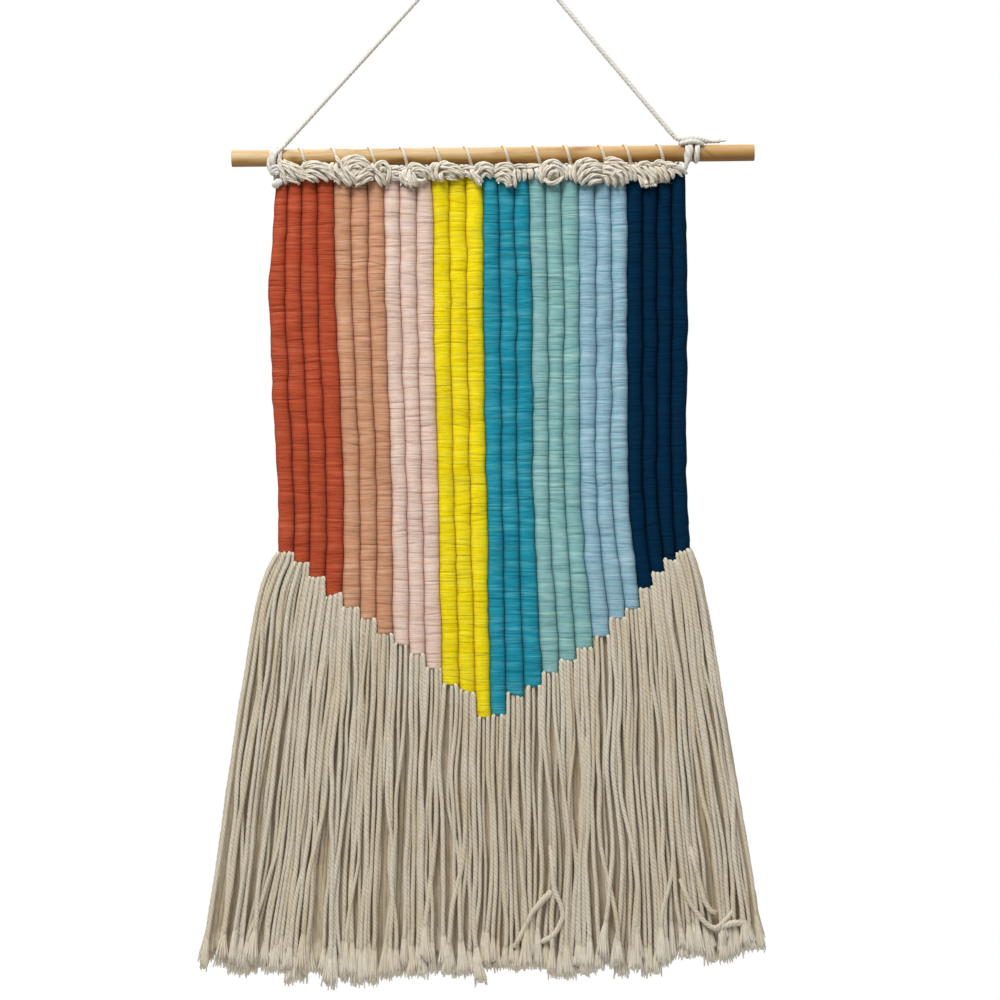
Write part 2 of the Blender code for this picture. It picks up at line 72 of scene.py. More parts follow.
HANGER_ROUTE = (
    (-163.4, -5.1, -176.8),
    (-147.0, -4.3, -158.8),
    (-128.0, -3.6, -137.9),
    (-108.0, -2.9, -116.0),
    (-88.0, -2.3, -94.0),
    (-68.0, -1.7, -71.9),
    (-48.0, -1.1, -49.7),
    (-30.0, -0.6, -29.4),
    (-15.0, -0.2, -12.4),
    (-7.0, 0.0, -3.0),
    (-3.6, 0.0, 0.8),
    (0.0, 0.0, 2.0),
    (3.5, 0.0, 0.6),
    (6.7, 0.0, -3.0),
    (14.5, -0.1, -12.4),
    (29.0, -0.3, -29.9),
    (47.0, -0.5, -51.5),
    (66.0, -0.8, -74.1),
    (86.0, -1.1, -98.0),
    (106.0, -1.4, -121.7),
    (126.0, -1.7, -145.4),
    (146.0, -2.0, -169.0),
)
LASHING_X = (-149, -123, -93.5, -68, -41, -17, 13.5, 38, 62.5, 90.5, 110.5, 137)


class RodStreak(NamedTuple):
    """A dark streak on the rod's front: its middle, its reach along and up, its slope and its strength."""

    x: float
    z: float
    length: float
    height: float
    slope: float
    strength: float


ROD_STREAKS = (
    RodStreak(-157.0, -0.8, 4.5, 2.2, 0.0, 0.7),
    RodStreak(-70.0, -3.0, 9.0, 1.8, 0.05, 0.9),
    RodStreak(-97.0, 5.2, 12.0, 0.7, 0.06, 0.5),
    RodStreak(-76.0, 5.4, 12.0, 0.7, 0.1, 0.6),
    # A dark diagonal streak on the rod's front at its right end, below the right hitch's tail.
    RodStreak(173.0, 0.8, 7.0, 1.3, -0.75, 0.85),
    RodStreak(30.0, -2.0, 10.0, 1.0, 0.0, 0.4),
    RodStreak(-200.0, -2.6, 12.0, 1.2, 0.05, 0.5),
    RodStreak(106.0, 1.5, 14.0, 0.8, 0.02, 0.35),
)


class Yarn(Enum):
    """The wound yarns, each with the record's name for it."""

    RUST = "rust"
    TAN = "tan"
    PINK = "pink"
    YELLOW = "yellow"
    TEAL = "teal"
    SEA_GREEN = "sea_green"
    LIGHT_BLUE = "light_blue"
    NAVY = "navy"


class Column(NamedTuple):
    """One wound bundle: its middle across at four levels, and where it starts, stops and ends."""

    yarn: Yarn
    head_x: float
    waist_x: float
    hip_x: float
    foot_x: float
    head: float
    foot: float
    hem: float
    foot_slant: float = 0.0
    foot_share: float = 0.95


COLUMNS = (
    Column(Yarn.RUST, -167, -170, -163, -163, 210.5, 503, 834),
    Column(Yarn.RUST, -157, -157.5, -150, -150.5, 206, 511, 838.5),
    Column(Yarn.RUST, -145, -144, -137, -138.5, 206, 522.5, 838.5),
    Column(Yarn.RUST, -131.5, -130, -123.5, -125, 204.5, 537, 844.5, foot_slant=-3.5),
    Column(Yarn.TAN, -118, -117, -110, -111, 207.5, 547, 848),
    Column(Yarn.TAN, -104.5, -103.5, -97, -98, 209, 556, 848.5),
    Column(Yarn.TAN, -91, -90, -84.5, -85, 206, 568, 848),
    Column(Yarn.PINK, -78.5, -77, -72.5, -70.5, 204.5, 576.5, 844, foot_slant=2),
    Column(Yarn.PINK, -65.5, -65, -60.5, -58, 210.5, 584.5, 840.5),
    Column(Yarn.PINK, -52.5, -51.5, -47.5, -45.5, 205, 595.5, 839.5),
    Column(Yarn.YELLOW, -39.5, -38.5, -35, -31, 204.5, 608.5, 841, foot_slant=1.5),
    Column(Yarn.YELLOW, -26.5, -25, -22.5, -17.5, 201, 614, 843, foot_slant=4),
    Column(Yarn.YELLOW, -12.5, -11.5, -9, -5, 203.5, 634.5, 842.5),
    Column(Yarn.TEAL, 1, 1.5, 3.5, 6.5, 203.5, 633, 834.5, foot_share=0.95),
    Column(Yarn.TEAL, 13, 15, 16, 20.5, 209, 617, 838, foot_slant=5, foot_share=0.97),
    Column(Yarn.TEAL, 25, 27.5, 28.5, 35, 203.5, 610, 837),
    Column(Yarn.SEA_GREEN, 37.5, 40, 41, 48.5, 197, 599, 841, foot_slant=1),
    Column(Yarn.SEA_GREEN, 50.5, 53, 53.5, 62.5, 206.5, 589, 842),
    Column(Yarn.SEA_GREEN, 63.5, 65, 66.5, 75.5, 205, 579.5, 839.5),
    Column(Yarn.LIGHT_BLUE, 77.5, 78.5, 79.5, 89.5, 208.5, 570, 834.5, foot_slant=-1.5),
    Column(Yarn.LIGHT_BLUE, 90.5, 91.5, 91.5, 102, 208.5, 555.5, 840),
    Column(Yarn.LIGHT_BLUE, 103, 104, 105, 115, 209, 548, 839.5),
    Column(Yarn.NAVY, 116.5, 116.5, 117.5, 125.5, 203.5, 531, 831.5, foot_slant=-2),
    Column(Yarn.NAVY, 128, 128, 128.5, 135, 210.5, 519, 826),
    Column(Yarn.NAVY, 139, 139.5, 139.5, 144.5, 208.5, 509, 830.5, foot_slant=2),
    Column(Yarn.NAVY, 150.5, 151.5, 151.5, 155, 201, 502, 823.5, foot_slant=-3.5),
)


class Knot(NamedTuple):
    """The lump that a knot's cords lie on: its sides, top below the rod's axis, foot and reach to the front."""

    left: float
    right: float
    top: float
    foot: float
    front: float


KNOTS = (
    Knot(-168, -142, 6.8, 207.5, 10.4),
    Knot(-150, -124, 6.2, 205.5, 11.2),
    Knot(-128, -92, 2.8, 208.5, 12.6),
    Knot(-95, -79, 7.2, 208.0, 10.4),
    Knot(-82, -66, 8.8, 204.5, 7.8),
    Knot(-71, -57, 9.2, 208.5, 10.4),
    Knot(-66, -46, 8.0, 205.0, 10.4),
    Knot(-48, -36, 8.0, 206.0, 10.4),
    Knot(-41, -20, 8.4, 204.0, 10.4),
    Knot(-22, -6, 8.6, 205.5, 9.4),
    Knot(-14, 4, 8.4, 203.0, 10.0),
    Knot(3, 21, 8.8, 208.5, 10.4),
    Knot(18, 42, 8.8, 203.0, 7.8),
    Knot(39, 61, 7.4, 206.5, 11.0),
    Knot(58, 68, 8.6, 204.0, 9.0),
    Knot(66, 90, 6.2, 207.5, 11.6),
    Knot(87, 114, 4.6, 208.0, 12.2),
    Knot(112, 148, 7.2, 207.5, 10.8),
    Knot(144, 157, 8.8, 201.5, 8.4),
)


class KnotCord(NamedTuple):
    """A cord of a knot: its width at both ends, how far it stands out, and its points in grid steps."""

    width: float
    end_width: float
    lift: float
    path: tuple[tuple[float, float], ...]


GRID = 0.8
GRID_X = 490.0
GRID_TOP = 76.4
KNOT_CORDS = tuple(KnotCord(*row) for row in (
    (4.2, 4, 2.0, ((279, 163), (283, 172), (287, 184))),
    (4.5, 4.5, 2.5, ((280, 161), (290, 172), (296, 181.5))),
    (4.5, 4.5, 3.0, ((282, 162), (294, 170), (304, 181))),
    (4.6, 4.2, 2.5, ((284, 161.5), (298, 168.5), (311, 180.5))),
    (4, 4, 1.5, ((289, 163.5), (302, 170), (309, 176))),
    (3.4, 1.6, 3.5, ((297, 175.5), (306, 179.5), (315, 183.5))),
    (4, 4, 0.5, ((284, 176), (292, 181), (300, 184))),
    (4, 4, 3.0, ((305, 164), (302.5, 170), (306, 177))),
    (4.6, 4.6, 2.5, ((305, 165), (314, 163.5), (325, 167), (333, 174))),
    (4.8, 4.6, 3.2, ((306, 168), (317, 168), (327, 173.5), (333, 179.5))),
    (4.6, 4.6, 3.0, ((306, 172), (315, 173), (323, 178), (328, 182))),
    (4.2, 4.2, 2.2, ((305, 176), (312, 178), (319, 182))),
    (4, 4, 1.8, ((322, 164.5), (331, 168), (335, 176))),
    (4.5, 4.5, 3.0, ((333, 164), (330.5, 170), (334, 177), (340, 184))),
    (4.6, 4.6, 3.6, ((337, 164), (337, 171), (343, 179), (348, 185))),
    (3.2, 3, 6.0, ((336.5, 157), (342, 167), (347, 176), (352, 185.5))),
    (4.8, 4.6, 4.0, ((339, 167), (346, 160.5), (356, 158), (366, 162.5), (373, 171))),
    (4.8, 4.6, 4.8, ((343, 169), (350, 163.5), (358, 162.5), (366, 168), (371, 174))),
    (4.8, 4.6, 5.2, ((347, 172.5), (352, 167.5), (359, 167.5), (363, 172))),
    (4.4, 4.4, 4.6, ((345, 165), (349, 172), (354, 179), (356, 185))),
    (4.8, 4.4, 4.2, ((354, 177), (361, 173.5), (368, 170), (374, 171))),
    (4.8, 4.4, 4.2, ((354, 181.5), (361, 178), (369, 174.5), (374, 176))),
    (4.6, 4.2, 3.2, ((356, 186.5), (363, 183.5), (370, 180), (374, 180))),
    (4.2, 4.2, 4.0, ((340, 173), (345, 179), (351, 186))),
    (4.6, 4.4, 3.4, ((375, 174), (377, 166.5), (383, 163.5), (389, 168), (390, 175), (387, 182))),
    (4, 3.6, 4.6, ((372, 165), (377, 172), (383, 179), (386, 185.5))),
    (3.8, 3.8, 2.6, ((381, 173), (383.5, 168.5), (386, 173))),
    (4.4, 4, 2.0, ((376, 175), (379, 181), (382, 186))),
    (4.2, 4, 1.5, ((389, 170), (393, 176), (394, 181))),
    (4.4, 4.4, 1.0, ((389, 168.5), (397, 168.5), (407, 169))),
    (4.8, 4.6, 1.2, ((390, 173), (398, 174), (406, 173.5))),
    (4, 4, 0.5, ((392, 178), (398, 179), (405, 178))),
    (5, 5.4, 3.0, ((407, 170), (404, 177), (407.5, 185.5))),
    (5, 5.6, 3.6, ((410, 171), (410, 178), (411.5, 187.5))),
    (5, 5.4, 3.0, ((412, 172), (415, 179), (416, 186.5))),
    (4.2, 4.2, 1.8, ((404, 171), (401.5, 177), (403, 183))),
    (4.8, 4.4, 3.2, ((408, 171), (412, 165.5), (420, 167), (428, 172), (430, 180))),
    (4.6, 4.4, 3.8, ((412, 173), (416, 169.5), (423, 171.5), (426, 178))),
    (4.4, 4.0, 2.4, ((413, 172.5), (418.5, 173.5), (424, 177.5))),
    (4.4, 4.2, 2.4, ((427, 180), (421, 182), (415, 180.5))),
    (4.2, 4.2, 1.5, ((428, 168.5), (432, 170), (433, 178))),
    (4.6, 4.4, 2.8, ((438, 164), (432, 168), (431, 174), (434, 181))),
    (4.6, 4.4, 3.4, ((441, 164), (437, 169), (436.5, 175), (439, 181))),
    (4.8, 4.2, 3.4, ((440, 163.5), (449, 165.5), (458, 169), (465, 175))),
    (4.8, 4.2, 3.8, ((441, 167.5), (449, 169.5), (457, 173), (463, 178))),
    (4.4, 4, 3.0, ((443, 172), (450, 174), (456, 178))),
    (4.8, 5.4, 4.0, ((442, 173.5), (441, 178), (442.5, 181.5))),
    (4, 4, 1.4, ((446, 177), (452, 179.5), (458, 181))),
    (4.4, 4.4, 1.0, ((461, 167.5), (468, 168), (476, 169))),
    (4.4, 4, 1.2, ((462, 173), (467, 174), (472, 179))),
    (4.6, 3.6, 2.8, ((471, 170), (474, 177), (479, 186))),
    (4.4, 4, 2.4, ((475, 171), (478, 177), (482, 183))),
    (4.8, 4.6, 3.0, ((474, 172), (479, 165.5), (487, 165), (494, 170.5))),
    (4.4, 4.4, 3.6, ((477, 175), (482, 169.5), (488, 169.5), (493, 175))),
    (4.2, 4.2, 2.0, ((482, 178.5), (486, 174.5), (491, 178))),
    (4.8, 4.6, 2.6, ((495, 171), (500, 165.5), (508, 165.5), (515, 171))),
    (4.8, 4.6, 3.0, ((494, 173), (499, 170), (507, 171), (513, 176), (515, 184))),
    (4.8, 4.4, 3.4, ((495, 177.5), (501, 174.5), (507, 177), (511, 186))),
    (4.4, 4.2, 3.0, ((497, 181.5), (502, 179.5), (506, 183), (507.5, 187.5))),
    (3.2, 3, 4.4, ((514, 170), (514.8, 178), (515.4, 188))),
    (4.4, 4.4, 1.0, ((512, 167), (520, 166.5), (526, 168))),
    (4.6, 4.4, 1.2, ((518, 170), (519, 176), (519, 181))),
    (4.4, 4.2, 0.8, ((523, 169), (525, 174), (524, 181))),
    (4.4, 4.4, 1.0, ((527, 167), (535, 166.5), (542, 168))),
    (4.8, 4.6, 1.2, ((530.5, 169), (531, 175), (530, 179))),
    (4.8, 4.6, 1.4, ((536, 169), (537, 175), (537, 179))),
    (4.8, 4.4, 3.4, ((541, 173), (545, 164.5), (553, 162), (561, 166), (565, 174))),
    (4.6, 4.4, 4.0, ((543, 177), (547, 169.5), (554, 167), (560, 170.5), (562, 177))),
    (4, 4, 4.4, ((548, 179), (551.5, 173), (557, 173), (557, 178))),
    (4.6, 4.4, 3.0, ((543, 180), (550, 184), (558, 182), (564, 177))),
    (4.2, 4.2, 2.2, ((541, 168), (540, 175), (542, 183))),
    (4.4, 4.4, 2.0, ((564, 167), (566, 172), (566, 180))),
    (4.6, 4.4, 2.4, ((569, 166), (571, 172), (571, 180))),
    (4.8, 4.6, 3.4, ((574, 175), (577, 165), (585, 161), (594, 162.5), (601, 168))),
    (4.8, 4.6, 4.2, ((577, 178), (582, 169), (590, 165.5), (599, 168.5))),
    (4.8, 4.6, 4.4, ((578, 182), (584, 174.5), (592, 170.5), (601, 172))),
    (4.8, 4.4, 4.0, ((581, 185), (587, 179.5), (594, 176), (601, 176.5))),
    (4.4, 4.4, 3.0, ((588, 185.5), (594, 182), (601, 181))),
    (4.2, 4.2, 2.4, ((576, 168), (573.5, 175), (576, 183))),
    (4.8, 4.6, 3.6, ((605, 160), (615, 160.5), (624, 165.5), (630, 173), (631, 181))),
    (4.8, 4.6, 4.2, ((604, 164), (613, 165), (621, 170), (626, 177), (627, 184))),
    (4.8, 4.6, 4.4, ((603, 168.5), (611, 169.5), (618, 174.5), (622, 181), (622, 187))),
    (4.8, 4.4, 4.0, ((602, 172.5), (609, 174.5), (614, 180), (615, 187))),
    (4.6, 4.4, 3.2, ((601, 176.5), (606, 179), (608, 186))),
    (4, 4, 5.2, ((611, 178), (616, 173), (624, 172))),
    (4.6, 4.4, 2.4, ((632, 166), (635, 172), (635, 181))),
    (4.4, 4.2, 2.8, ((636, 171), (640, 164.5), (647, 164), (652, 169))),
    (4.4, 4.2, 2.8, ((650, 168), (656, 163.5), (663, 164), (668, 169))),
    (4.8, 5.2, 3.4, ((637, 168), (641, 174), (645, 182), (646, 188))),
    (4.8, 5.2, 4.0, ((643, 167), (647, 173), (651, 180), (652, 187))),
    (4.6, 4.6, 3.6, ((649, 168), (653, 174), (656, 182))),
    (4.6, 4.4, 3.8, ((655, 167.5), (659, 173), (662, 182))),
    (4.6, 4.4, 3.4, ((661, 167.5), (665, 173), (668, 181))),
    (4.4, 4.2, 2.6, ((667, 169), (671, 173), (673, 179))),
    (4.4, 4.6, 3.0, ((638, 176), (640.5, 181), (642, 187))),
    (4.8, 2.6, 2.8, ((663, 164.5), (672, 165.5), (680, 169.5), (686.5, 175))),
    (4.6, 2.6, 2.2, ((669, 171), (676, 173), (682, 177))),
))


class LooseEnd(NamedTuple):
    """A single cord laid over the heading: its points, and its radius at the start and the end."""

    points: tuple[tuple[float, float, float], ...]
    start_radius: float
    end_radius: float
    frayed: int = 0


LOOSE_ENDS = (
    LooseEnd(((-68, -10.0, -204.0), (-66, -12.2, -207.4)), 1.2, 1.6, 12),
    LooseEnd(((-62.6, -10.0, -205.0), (-62.4, -12.2, -208.4)), 1.2, 1.6, 12),
    LooseEnd(((-10, -9.0, -205), (-8.4, -10.6, -208.4)), 1.2, 1.2, 8),
    LooseEnd(((15, -9.5, -206), (15.4, -11.0, -208.8)), 1.4, 1.6, 9),
    LooseEnd(((124, -10.5, -206), (124.8, -12.0, -209.6)), 1.6, 1.8, 8),
    LooseEnd(((129, -10.5, -205), (129.8, -12.0, -208.8)), 1.6, 1.8, 8),
)


class HitchCord(NamedTuple):
    """A cord of the left hitch's knot: its radii at both ends, its depth, and its points in grid steps."""

    start_radius: float
    end_radius: float
    y: float
    path: tuple[tuple[float, float], ...]


LEFT_KNOT = (
    HitchCord(1.5, 1.9, -7.4, ((270.6, 157), (268.9, 164), (270.4, 170), (273.6, 176))),
    HitchCord(1.8, 1.6, -8.6, ((270.6, 171), (273.6, 167.6), (278.6, 167.4), (282.4, 171), (283.8, 176.5),
                               (286.3, 182.2))),
    HitchCord(2.3, 2.2, -8.2, ((275.2, 174.8), (277.4, 173.6), (279.6, 173.2))),
    HitchCord(1.3, 1.3, -8.8, ((273.2, 175.5), (273.8, 172), (277.6, 170.2), (281, 172.4))),
    HitchCord(1.9, 1.8, -7.2, ((279, 172), (282, 176.5), (281.6, 180.5))),
    HitchCord(3.8, 3.4, -7.2, ((273.4, 186.4), (277.6, 184), (282.4, 181.4))),
)
LEFT_LEAD = (
    HANGER_ROUTE[0],
    (-165.7, -6.6, -179.3),
    (-168.6, -8.4, -182.0),
    (-171.4, -9.3, -185.4),
    (-172.6, -9.0, -190.0),
    (-172.4, -6.6, -194.6),
    (-171.8, -4.0, -198.0),
)
RIGHT_FILLER = ((151.0, 1.0, -175.9), (160.0, 1.4, -175.4), (169.5, 1.0, -175.9))
RIGHT_LINK = ((157.9, -6.9, -188.0), (157.0, -7.0, -193.0), (156.2, -6.0, -197.4))
RIGHT_TAIL = (
    HANGER_ROUTE[-1],
    (149.2, -2.2, -171.6),
    (153.5, -3.4, -172.6),
    (159.5, -4.0, -172.4),
    (166.0, -3.2, -173.0),
    (172.0, -1.6, -173.9),
    (178.0, -0.6, -174.2),
    (184.0, 0.0, -173.9),
)
RIGHT_CROSS = (
    (152.0, -4.5, -176.4),
    (155.5, -7.4, -175.6),
    (160.5, -8.2, -174.8),
    (166.5, -7.2, -175.6),
    (170.0, -5.0, -177.0),
)
TAIL_SHARES = (0, 0.18, 0.42, 0.62, 0.8, 1.0)
TAIL_RADII = (2.05, 2.5, 3.3, 3.0, 1.8, 1.7)


class Wrap(NamedTuple):
    """A turn of cord pressed on the rod: its place, its lean, half its width and its thickness as a share of it."""

    x: float
    lean: float
    radius: float
    flat: float


LEFT_WRAPS = (Wrap(-174.0, -2.2, 3.0, 0.6), Wrap(-168.0, -0.8, 2.0, 0.8))
RIGHT_WRAPS = (Wrap(158.3, -1.8, 3.5, 0.55), Wrap(165.3, -0.8, 2.4, 0.7))


class Drift(NamedTuple):
    """A fringe cord that has fallen across the others.

    It has its fringe, its points in grid steps, its radii at the start, a third of the way and the
    end, and how far its start is tucked behind the others.
    """

    fringe: int
    path: tuple[tuple[float, float], ...]
    radii: tuple[float, float, float] = (2.1, 2.3, 2.1)
    start_tuck: float = 3.6


DRIFTS = (
    Drift(16, ((551.5, 890.5), (545, 896.5), (539, 903), (531.5, 912), (525.5, 924), (518.5, 938), (514.5, 946)),
          (3.3, 2.5, 2.2), start_tuck=0.6),
    Drift(17, ((550, 845), (552, 862), (554.5, 888), (561, 905), (562.5, 915), (558, 926.5), (552, 934.5),
               (541.5, 941)), (2.0, 2.4, 2.4)),
    Drift(23, ((690, 846), (693.5, 860), (697, 873), (701.5, 889.5), (704.5, 900), (710.5, 909.5), (716, 911.5))),
    Drift(23, ((680, 878), (684, 889.5), (690, 902), (698, 913.5), (708, 924), (716, 926), (725.5, 918),
               (733, 909))),
    Drift(24, ((713, 929), (725.5, 923.5), (735, 921.5), (747, 923)), (2.0, 3.0, 2.8)),
)


class Lay(NamedTuple):
    """How a cord is laid up: the furrow between its plies, one turn's length, and its mesh."""

    furrow: float
    pitch: float
    sides: int
    step: float


HANGER_LAY = Lay(furrow=0.15, pitch=10.5, sides=9, step=1.0)
HITCH_LAY = Lay(furrow=0.22, pitch=9.0, sides=9, step=0.8)
KNOT_LAY = Lay(furrow=0.1, pitch=20.0, sides=7, step=1.2)
BAR_LAY = Lay(furrow=0.12, pitch=9.0, sides=6, step=2.0)
FRINGE_LAY = Lay(furrow=0.17, pitch=10.6, sides=6, step=1.8)
BACK_LAY = Lay(furrow=0.18, pitch=21.0, sides=6, step=3.5)
INNER_LAY = Lay(furrow=0.07, pitch=60.0, sides=6, step=7.0)
LASHING_LAY = Lay(furrow=0.32, pitch=7.5, sides=9, step=0.9)
CORE_LAY = Lay(furrow=0.1, pitch=60.0, sides=9, step=4.0)
HOLDING_LAY = Lay(furrow=0.05, pitch=9.0, sides=9, step=4.0)
LUMP_LAY = Lay(furrow=0.08, pitch=90.0, sides=10, step=2.0)
LOCK_LAY = Lay(furrow=0.0, pitch=200.0, sides=3, step=1.0)
FIBRE_LAY = Lay(furrow=0.0, pitch=30.0, sides=3, step=1.0)
PLIES = 3
BRUSH_SIDES = 9
BRUSH_FLAT = 0.72
# The brush core's ply value, below 1, paints it a little towards the furrow colour: painted shade for the core inside
# the locks.
BRUSH_CORE_SHADE_PLY = 0.55
LOCK_TAPER = np.array([0.5, 1.1, 1.15, 0.6])
LOCK_SINK = np.array([1.6, 0.5, 0.0, 0.0])


class FringeRow(NamedTuple):
    """A row of a fringe's cords, from front to back, and how its cords are made and placed."""

    y: float
    phase: float
    lay: Lay
    radius: float
    pitch: float
    locks: int
    crest_ply: float = 1.0
    loose: bool = True


FRINGE_ROWS = (
    FringeRow(y=-4.4, phase=0.5, lay=FRINGE_LAY, radius=2.0, pitch=3.6, locks=13),
    # The inner row's crest ply of 0.4 paints its cords towards the brown furrow colour: painted shade for the cords
    # in the shadow between the front and back rows.
    FringeRow(y=1.3, phase=0.5, lay=INNER_LAY, radius=2.7, pitch=4.1, locks=6, crest_ply=0.4, loose=False),
    FringeRow(y=4.6, phase=0.17, lay=BACK_LAY, radius=2.15, pitch=4.2, locks=10),
)


def linear(code: str) -> Colour:
    """Turn a written colour into the linear one that a shader takes.

    Args:
        code: Six hexadecimal digits.

    Returns:
        Red, green and blue from 0 to 1.
    """
    parts = (int(code[i:i + 2], 16) / 255 for i in (0, 2, 4))
    return tuple(p / 12.92 if p < 0.04045 else ((p + 0.055) / 1.055) ** 2.4 for p in parts)


class NodeTree:
    """Shader nodes, made and joined in few words."""

    def __init__(self, owner: bpy.types.Material | bpy.types.World) -> None:
        """Start with the nodes that a material or a world has of its own."""
        owner.use_nodes = True
        self.tree = owner.node_tree

    def add(self, kind: str, inputs: dict | None = None, **settings: object) -> bpy.types.Node:
        """Add a node.

        Args:
            kind: Blender's name for the node's type.
            inputs: Values or sockets for the node's inputs, by name or number.
            settings: The node's own settings.

        Returns:
            The new node.
        """
        node = self.tree.nodes.new(kind)
        for name, value in settings.items():
            setattr(node, name, value)
        self.feed(node, inputs or {})
        return node

    def feed(self, node: bpy.types.Node, inputs: dict) -> None:
        """Set or join a node's inputs.

        Args:
            node: The node that takes them.
            inputs: Values or sockets, by name or number.
        """
        for name, value in inputs.items():
            if isinstance(value, bpy.types.NodeSocket):
                self.tree.links.new(value, node.inputs[name])
            else:
                node.inputs[name].default_value = value


class Graph(NodeTree):
    """A material's nodes."""

    def __init__(self, name: str) -> None:
        """Start a material with its own principled shader.

        Args:
            name: The material's name.
        """
        self.material = bpy.data.materials.new(name)
        super().__init__(self.material)
        self.shader = self.tree.nodes["Principled BSDF"]

    def attribute(self, name: str) -> bpy.types.NodeSocket:
        """The value that a mesh holds under a name."""
        return self.add("ShaderNodeAttribute", attribute_name=name).outputs["Fac"]

    def place(self, scale: tuple[float, float, float]) -> bpy.types.NodeSocket:
        """The point on the object, stretched by a scale along each axis."""
        spot = self.add("ShaderNodeTexCoord").outputs["Object"]
        return self.add("ShaderNodeMapping", {"Vector": spot, "Scale": scale}).outputs["Vector"]

    def noise(self, scale: tuple[float, float, float], detail: float) -> bpy.types.NodeSocket:
        """Soft noise from 0 to 1, stretched by a scale in turns a metre."""
        inputs = {"Vector": self.place(scale), "Scale": 1.0, "Detail": detail, "Roughness": 0.6}
        return self.add("ShaderNodeTexNoise", inputs).outputs["Fac"]

    def spread(self, value: bpy.types.NodeSocket, low: float, high: float,
               to_low: float, to_high: float) -> bpy.types.NodeSocket:
        """Bring a value from one range to another and hold it there.

        Args:
            value: The value.
            low: Where the first range starts.
            high: Where the first range ends.
            to_low: What low becomes.
            to_high: What high becomes.

        Returns:
            The new value.
        """
        inputs = {"Value": value, "From Min": low, "From Max": high, "To Min": to_low, "To Max": to_high}
        return self.add("ShaderNodeMapRange", inputs).outputs["Result"]

    def blend(self, share: bpy.types.NodeSocket, a: object, b: object) -> bpy.types.NodeSocket:
        """Go from colour a to colour b by a share.

        Args:
            share: 0 for a, and 1 for b.
            a: A colour or a socket.
            b: A colour or a socket.

        Returns:
            The mixed colour.
        """
        mix = self.add("ShaderNodeMix", data_type="RGBA")
        colours = [c if isinstance(c, bpy.types.NodeSocket) else (*c, 1.0) for c in (a, b)]
        self.feed(mix, {0: share, 6: colours[0], 7: colours[1]})
        return mix.outputs[2]

    def shade(self, colour: bpy.types.NodeSocket, value: bpy.types.NodeSocket) -> bpy.types.NodeSocket:
        """Make a colour lighter or darker by a value."""
        return self.add("ShaderNodeHueSaturation", {"Color": colour, "Value": value}).outputs["Color"]

    def bump(self, height: bpy.types.NodeSocket, depth: float, strength: float,
             under: bpy.types.NodeSocket | None = None) -> bpy.types.NodeSocket:
        """A relief that the light shows.

        Args:
            height: The relief, from 0 to 1.
            depth: Its depth in millimetres.
            strength: Its share.
            under: A relief that it lies on.

        Returns:
            The normal.
        """
        inputs = {"Height": height, "Distance": depth * MM, "Strength": strength}
        if under is not None:
            inputs["Normal"] = under
        return self.add("ShaderNodeBump", inputs).outputs["Normal"]


@dataclass(frozen=True)
class CottonFinish:
    """Undyed twisted cotton: pale on its plies, with brown painted shade in its furrows, paler where it is frayed,
    which is partly painted light, and never quite one shade.
    """

    name: str
    pale: Colour
    warm: Colour
    # furrow is the colour of the painted shade in the furrows, and the next field is how strongly it is painted.
    furrow: Colour
    painted_furrow_shade: float = 0.62
    # frayed is the paler colour of frayed ends: partly the loose fibres' own colour, partly painted light.
    frayed: Colour = (0.94, 0.89, 0.80)

    def material(self) -> bpy.types.Material:
        """Make the cotton.

        Returns:
            The material, which reads the mesh's ply and tone.
        """
        graph = Graph(self.name)
        fleck = graph.noise((420, 420, 300), 3.0)
        tone = graph.attribute("tone")
        patch = graph.noise((38, 38, 26), 2.0)
        warmth = graph.add("ShaderNodeMath", {0: tone, 1: graph.spread(patch, 0.3, 0.7, -0.3, 0.3)}, operation="ADD")
        colour = graph.blend(warmth.outputs[0], self.pale, self.warm)
        colour = graph.shade(colour, graph.spread(fleck, 0.25, 0.75, 0.86, 1.1))
        # Painted shade: where the mesh's ply value is low, in the furrows between plies and on cords whose crests are
        # held low, the colour goes towards the brown furrow colour.
        hollow = graph.spread(graph.attribute("ply"), 0.0, 0.75, self.painted_furrow_shade, 0.0)
        colour = graph.blend(hollow, colour, self.furrow)
        # Paler where the ply value is over 1, towards the brush tips: partly the paler loose fibres, partly painted
        # light on the hem's downward-facing ends.
        colour = graph.blend(graph.spread(graph.attribute("ply"), 1.0, 2.0, 0.0, 0.9), colour, self.frayed)
        fibres = graph.noise((2200, 2200, 900), 3.0)
        graph.feed(graph.shader, {
            "Base Color": colour,
            "Roughness": 0.92,
            "Sheen Weight": 0.08,
            "Sheen Roughness": 0.6,
            "Specular IOR Level": 0.12,
            "Normal": graph.bump(fibres, 0.5, 0.6),
        })
        return graph.material


